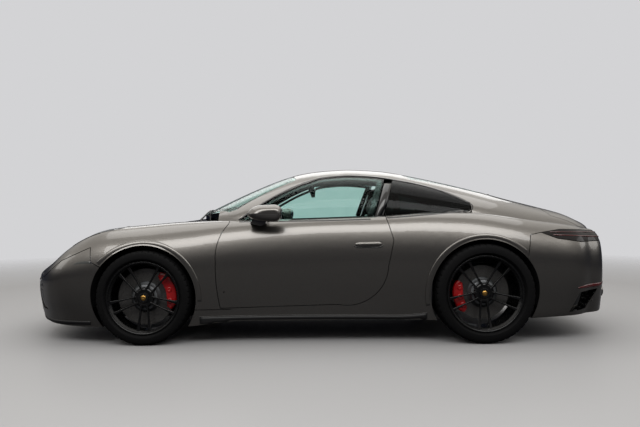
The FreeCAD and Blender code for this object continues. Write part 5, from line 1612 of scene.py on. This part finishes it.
    def vents(self):
        for k, y in enumerate((-0.655, -0.215, 0.215, 0.655)):
            for slat in range(4):
                rise = 0.012 * slat
                path = [Vector((-0.436 + rise * 0.25, y - 0.045 + 0.09 * i / 6, 0.690 + rise)) for i in range(7)]
                rod("vent_%d_vane_%d" % (k, slat), path, 0.010, 0.0012, Vector((1, 0, 0.35)), moulded_black_plastic(),
                    round_off=0.4)
            around = smooth_line([(x, y + dy, z) for x, dy, z in (
                (-0.430, -0.052, 0.708), (-0.432, -0.040, 0.684), (-0.432, 0.040, 0.684), (-0.430, 0.052, 0.708),
                (-0.427, 0.040, 0.736), (-0.427, -0.040, 0.736), (-0.430, -0.052, 0.708))], 48)
            tube("vent_%d_frame" % k, around, 0.0032, satin_chrome(), resolution=1)
        strip = [(-0.4335, -0.74 + 1.48 * i / 40, 0.752) for i in range(41)]
        tube("dash_strip", strip, 0.0040, satin_chrome(), resolution=1)

    def console(self):
        half = 0.088
        rows = []
        for k in range(15):
            t = k / 14
            z = 0.640 - 0.052 * t ** 0.7
            rows.append([Vector((-0.50 + 0.86 * t, y, height)) for y, height in (
                (-half, 0.572), (-half - 0.004, z - 0.014), (-half + 0.012, z), (half - 0.012, z),
                (half + 0.004, z - 0.014), (half, 0.572))])
        cabin_pad("console_top", rows)
        panel = [[Vector((x, y, 0.6455 - 0.055 * max(0.0, (x + 0.50) / 0.86) ** 0.7 + dz)) for y, dz in
                  ((-0.060, -0.006), (-0.058, 0.003), (0.058, 0.003), (0.060, -0.006))]
                 for x in (-0.44, -0.34, -0.24, -0.14, -0.06)]
        self.plate("console_panel", panel, 0.002)
        place = self.disc_place(Vector((-0.18, 0.0, 0.640)), Vector((0.12, 0, 1)).normalized())
        lathe("gear_selector", self.SELECTOR, 40, place, grained_leather())
        for k in range(6):
            path = [Vector((-0.36 + 0.010 * i, -0.045 + 0.018 * k, 0.6445 - 0.0016 * i)) for i in range(4)]
            softened(rod("console_key_%d" % k, path, 0.0070, 0.0022, Vector((0, 1, 0)), moulded_black_plastic(),
                         round_off=0.3), 0.0006)
        lid = [[Vector((x, y, 0.602 + dz)) for y, dz in ((-0.080, -0.012), (-0.078, 0.020), (-0.060, 0.032),
                                                         (0.060, 0.032), (0.078, 0.020), (0.080, -0.012))]
               for x in (0.06, 0.08, 0.16, 0.26, 0.33, 0.35)]
        cabin_pad("arm_rest", lid, levels=2)

    def pedals(self):
        for k, (y, wide, z) in enumerate(((-0.430, 0.045, 0.300), (-0.325, 0.026, 0.290))):
            name = "pedal_%d" % k
            path = [Vector((-0.700 + 0.055 * t, y, z + 0.11 * t)) for t in (0.0, 0.35, 0.7, 1.0)]
            softened(rod(name, path, [wide * 0.9, wide, wide, wide * 0.85], 0.006, Vector((0, 1, 0)), brushed_steel(),
                         round_off=0.4), 0.002)
            for rib in range(4):
                at = path[0].lerp(path[-1], 0.2 + 0.2 * rib)
                line = [Vector((at.x + 0.008, y + wide * (-0.8 + 0.4 * i), at.z + 0.004)) for i in range(5)]
                tube("%s_rib_%d" % (name, rib), line, 0.0025, tyre_rubber(), resolution=1)
            stem = [Vector((x, y, z + up))
                    for x, up in ((-0.704, 0.08), (-0.750, 0.16), (-0.775, 0.27), (-0.800, 0.300))]
            rod(name + "_stem", stem, 0.009, 0.007, Vector((0, 1, 0)), stoved_primer(), round_off=0.4)

    def overhead(self):
        """The cabin mirror, hung from the windscreen, and the sun visors."""
        spot, normal = on_skin(skin_of("windscreen"), (-0.300, 0.0, ABOVE), DOWN)
        foot = spot - normal * 0.010
        stem = [foot + Vector((x, 0, z)) for x, z in ((0, 0), (0.030, -0.020), (0.050, -0.042), (0.058, -0.060))]
        rod("cabin_mirror_stem", stem, [0.016, 0.011, 0.010, 0.010], [0.010, 0.008, 0.008, 0.008], Vector((0, 1, 0)),
            moulded_black_plastic(), round_off=0.6)
        centre = foot + Vector((0.066, 0, -0.072))
        rows = []
        for k in range(19):
            t = math.sin(math.pi * (k / 18 - 0.5))
            tall = 0.031 * (1 - abs(t) ** 6) ** 0.5 + 0.0015
            rows.append([centre + Vector((dx, 0.118 * t, tall * dz)) for dx, dz in (
                (0.006, -0.92), (0.010, -0.80), (0.010, 0.80), (0.006, 0.92), (-0.006, 0.75), (-0.014, 0.30),
                (-0.014, -0.30), (-0.006, -0.75))])
        subdivided(lofted("cabin_mirror", rows, moulded_black_plastic()))
        ceiling = skin_of("roof", "windscreen")
        for side, word in SIDES:
            rows = []
            for k in range(12):
                x = -0.275 + 0.155 * k / 11
                row = [on_skin(ceiling, (x, side * (0.115 + 0.330 * i / 6), ABOVE), DOWN, -0.045)[0] for i in range(7)]
                rows.append(row + [p + Vector((0, 0, -0.014)) for p in row[::-1]])
            softened(lofted("sun_visor_%s" % word, rows, knitted_lining()), 0.005, 3)

    def door_trims(self):
        for side, word in SIDES:
            body = "door_%s" % word
            tree = skin_of(body)

            def at(x, z, lift):
                return on_skin(tree, (x, side * 0.30, z), (0, side, 0), lift)[0]
            rows = []
            for k in range(23):
                t = k / 22
                dip = 0.018 * math.sin(math.pi * t)
                rows.append([at(-0.56 + 0.84 * t, z - dip, lift if 0 < k < 22 else -0.002) for z, lift in (
                    (0.588, -0.002), (0.592, 0.034), (0.604, 0.052), (0.628, 0.054), (0.642, 0.040), (0.652, -0.002))])
            cabin_pad(body + "_arm_rest", rows, body)
            pull = [at(*place) for place in ((-0.42, 0.700, -0.001), (-0.40, 0.705, 0.026), (-0.30, 0.712, 0.036),
                                             (-0.20, 0.716, 0.036), (-0.12, 0.716, 0.026), (-0.10, 0.714, -0.001))]
            tube(body + "_pull", pull, 0.0085, satin_chrome(), body, 8)
            self.speaker(body, at)
            top = [at(-0.58 + 0.92 * i / 30, 0.845, 0.0015) for i in range(31)]
            tube(body + "_seam", top, 0.0016, grained_leather(), body, 1)

    def speaker(self, body, at, x=-0.47, z=0.420, radius=0.085):
        """A round speaker in the door, with seven bars across it."""
        ring = []
        for i in range(17):
            along, up = polar(radius, math.tau * i / 16)
            ring.append(at(x + along, z + up, 0.002))
        tube(body + "_speaker_ring", smooth_line(ring, 65), 0.0035, moulded_black_plastic(), body, 1)
        for k in range(7):
            up = 0.020 * (k - 3)
            half = (radius ** 2 - up ** 2) ** 0.5 - 0.004
            line = [at(x - half + 2 * half * i / 8, z + up, 0.0015) for i in range(9)]
            tube("%s_speaker_bar_%d" % (body, k), line, 0.0022, moulded_black_plastic(), body, 1)


class COUPE_OT_belts(bpy.types.Operator):
    """Seat belts hanging from the pillars, flat woven straps"""
    bl_idname = "coupe.belts"
    bl_label = "Seat belts"

    # lines from the seat belt's guide down: x, y, z on the right side
    STRAP = ((0.520, 0.585, 1.020), (0.512, 0.606, 0.900), (0.505, 0.622, 0.700), (0.500, 0.630, 0.500),
             (0.490, 0.634, 0.300))
    GUIDE = ((0.490, 0.578, 1.030), (0.520, 0.576, 1.042), (0.550, 0.578, 1.030))
    TONGUE = ((0.503, 0.6165, 0.640), (0.503, 0.6180, 0.610), (0.502, 0.6195, 0.585))

    def execute(self, context):
        for side, word in SIDES:
            strap, guide, tongue = ([Vector((x, side * y, z)) for x, y, z in line]
                                    for line in (self.STRAP, self.GUIDE, self.TONGUE))
            name = "belt_%s" % word
            rod(name, smooth_line(strap, 30), 0.0230, 0.0007, Vector((1, 0, 0)), woven_belt(),
                round_off=0.3)
            rod(name + "_guide", smooth_line(guide, 12), 0.010, 0.007, Vector((0, 0, 1)), moulded_black_plastic(),
                round_off=0.6)
            rod(name + "_tongue", tongue, [0.030, 0.026, 0.012], [0.004, 0.003, 0.0015], Vector((1, 0, 0)),
                brushed_steel(), round_off=0.4)
        return {"FINISHED"}


class COUPE_OT_lining(bpy.types.Operator):
    """The headlining and pillar linings, laid just inside the roof and the body sides"""
    bl_idname = "coupe.lining"
    bl_label = "Lining"

    def execute(self, context):
        centre = Vector((0.10, 0, 0.72))
        for node in ("roof", "body_side_left", "body_side_right", "rear_deck"):
            source = NODES[node].data
            shape = bmesh.new()
            shape.from_mesh(source)
            shape.normal_update()
            gone = []
            for face in shape.faces:
                middle = face.calc_center_median()
                inward = face.normal.dot(centre - middle) > 0.10 * (centre - middle).length
                if not inward or middle.z < 0.905 or not -0.85 < middle.x < 1.25:
                    gone.append(face)
            bmesh.ops.delete(shape, geom=gone, context="FACES")
            if not shape.faces:
                shape.free()
                continue
            bmesh.ops.remove_doubles(shape, verts=shape.verts, dist=0.0002)
            shape.normal_update()
            for vertex in shape.verts:
                vertex.co += vertex.normal * 0.0016
            mesh = bpy.data.meshes.new(node + "_lining")
            shape.to_mesh(mesh)
            shape.free()
            thing = piece(node + "_lining", mesh, knitted_lining())
            cover = thing.modifiers.new("thick", "SOLIDIFY")
            cover.thickness = 0.0010
            cover.offset = -1.0
        return {"FINISHED"}


class COUPE_OT_finishes(bpy.types.Operator):
    """Give every CAD node the material of its slot"""
    bl_idname = "coupe.finishes"
    bl_label = "Finishes"

    def execute(self, context):
        for part in frame["record"]["subparts"]:
            thing = NODES[part["node"]]
            material = SLOT_FINISH[part["material_slot"]]()
            if "bowl" in part["node"]:
                material = gloss_black_plastic()
            # the quarter windows get the dark glass, as painted shade for the shaded cabin behind them
            if "quarter" in part["node"]:
                material = privacy_glass()
            for place in thing.material_slots:
                place.material = material
        return {"FINISHED"}


class COUPE_OT_stage(bpy.types.Operator):
    """Floor, camera and soft light"""
    bl_idname = "coupe.stage"
    bl_label = "Stage"

    def floor_material(self):
        def build(material):
            place = add_node(material, "ShaderNodeTexCoord")
            radius = add_node(material, "ShaderNodeVectorMath", {0: place.outputs["Object"]}, operation="LENGTH")
            fade = add_node(material, "ShaderNodeMapRange", {"Value": radius.outputs["Value"], "From Min": 5.0,
                                                             "From Max": 11.0})
            seen = add_node(material, "ShaderNodeLightPath")
            tone = add_node(material, "ShaderNodeMix", {"Factor": seen.outputs["Is Camera Ray"],
                                                        MIX_LOW: rgba("#303135"), MIX_HIGH: rgba("#a4a4a5")},
                            data_type="RGBA").outputs[MIX_RESULT]
            stone = surface(material, tone, 0.4, Specular_IOR_Level=0.2)
            clear = add_node(material, "ShaderNodeBsdfTransparent")
            return add_node(material, "ShaderNodeMixShader", {0: fade.outputs["Result"], 1: stone,
                                                              2: clear.outputs["BSDF"]}).outputs["Shader"]
        return finish("pale_floor", build)

    def execute(self, context):
        stage = context.scene.coupe_stage
        mesh = bpy.data.meshes.new("floor")
        shape = bmesh.new()
        bmesh.ops.create_circle(shape, cap_ends=True, segments=96, radius=12.0)
        shape.to_mesh(mesh)
        shape.free()
        floor = bpy.data.objects.new("floor", mesh)
        context.collection.objects.link(floor)
        mesh.materials.append(self.floor_material())

        data = bpy.data.cameras.new("camera")
        data.lens = stage.lens
        data.sensor_width = 36.0
        data.shift_x = 0.0008
        data.shift_y = 0.0039
        data.clip_end = 100.0
        camera = bpy.data.objects.new("camera", data)
        context.collection.objects.link(camera)
        camera.matrix_world = (Matrix.Translation((0.0, -stage.distance, stage.height))
                               @ Matrix.Rotation(math.radians(90), 4, "X")
                               @ Matrix.Rotation(-stage.roll, 4, "Z"))
        context.scene.camera = camera

        for name, place, size, power, aim in (
                ("key", (0.0, -5.0, 4.6), (9.0, 2.4), 230.0, (0, -0.6, 0.7)),
                ("top", (0.0, 0.6, 5.2), (8.0, 4.0), 120.0, (0, 0, 0.6)),
                ("back", (0.0, 5.0, 3.6), (8.0, 2.0), 60.0, (0, 0, 0.6)),
                ("front_fill", (-6.2, -1.2, 2.8), (2.6, 2.0), 18.0, (0, 0, 0.6)),
                ("rear_fill", (6.2, -1.2, 2.8), (2.6, 2.0), 18.0, (0, 0, 0.6))):
            light = bpy.data.lights.new(name, "AREA")
            light.shape = "RECTANGLE"
            light.size, light.size_y = size
            light.energy = power
            lamp = bpy.data.objects.new(name, light)
            context.collection.objects.link(lamp)
            lamp.location = place
            lamp.rotation_euler = (Vector(aim) - Vector(place)).to_track_quat("-Z", "Y").to_euler()

        world = bpy.data.worlds.new("studio")
        world.use_nodes = True
        world.node_tree.nodes.clear()
        place = add_node(world, "ShaderNodeTexCoord")
        split = add_node(world, "ShaderNodeSeparateXYZ", {"Vector": place.outputs["Generated"]})
        height = add_node(world, "ShaderNodeMapRange", {"Value": split.outputs["Z"], "From Min": 0.10,
                                                        "From Max": 0.60})
        sky = add_node(world, "ShaderNodeMix", {"Factor": height.outputs["Result"], MIX_LOW: rgba("#1a1e2a"),
                                                MIX_HIGH: rgba("#f0ece6")}, data_type="RGBA").outputs[MIX_RESULT]
        seen = add_node(world, "ShaderNodeLightPath")
        backdrop = add_node(world, "ShaderNodeMix", {"Factor": seen.outputs["Is Camera Ray"], MIX_LOW: sky,
                                                     MIX_HIGH: rgba("#d3d3d5")}, data_type="RGBA").outputs[MIX_RESULT]
        glow = add_node(world, "ShaderNodeBackground", {"Color": backdrop, "Strength": 1.0})
        add_node(world, "ShaderNodeOutputWorld", {"Surface": glow.outputs["Background"]})
        context.scene.world = world
        context.scene.view_settings.view_transform = "Standard"
        return {"FINISHED"}


OPERATORS = (COUPE_OT_stage, COUPE_OT_finishes, COUPE_OT_tyres, COUPE_OT_rims, COUPE_OT_brakes,
             COUPE_OT_arches, COUPE_OT_calipers, COUPE_OT_window_trim, COUPE_OT_screens, COUPE_OT_headlamps,
             COUPE_OT_tail, COUPE_OT_handles, COUPE_OT_mirrors, COUPE_OT_lining, COUPE_OT_seats,
             COUPE_OT_cockpit, COUPE_OT_belts, COUPE_OT_skirts, COUPE_OT_grilles,
             COUPE_OT_bench)


class COUPE_PT_pieces(bpy.types.Panel):
    """Lists the steps that dress the car"""
    bl_label = "Coupe"
    bl_space_type = "VIEW_3D"
    bl_region_type = "UI"
    bl_category = "Coupe"

    def draw(self, context):
        for group in (context.scene.coupe_finishes, context.scene.coupe_stage):
            for name in group.__annotations__:
                self.layout.prop(group, name)
        for operator in OPERATORS:
            self.layout.operator(operator.bl_idname)


CLASSES = (CoupeFinishes, CoupeStage) + OPERATORS + (COUPE_PT_pieces,)


def register():
    for item in CLASSES:
        bpy.utils.register_class(item)
    bpy.types.Scene.coupe_finishes = bpy.props.PointerProperty(type=CoupeFinishes)
    bpy.types.Scene.coupe_stage = bpy.props.PointerProperty(type=CoupeStage)


def unregister():
    del bpy.types.Scene.coupe_stage
    del bpy.types.Scene.coupe_finishes
    for item in reversed(CLASSES):
        bpy.utils.unregister_class(item)


def main():
    register()
    for operator in OPERATORS:
        group, name = operator.bl_idname.split(".")
        getattr(getattr(bpy.ops, group), name)()


if __name__ == "__main__":
    main()
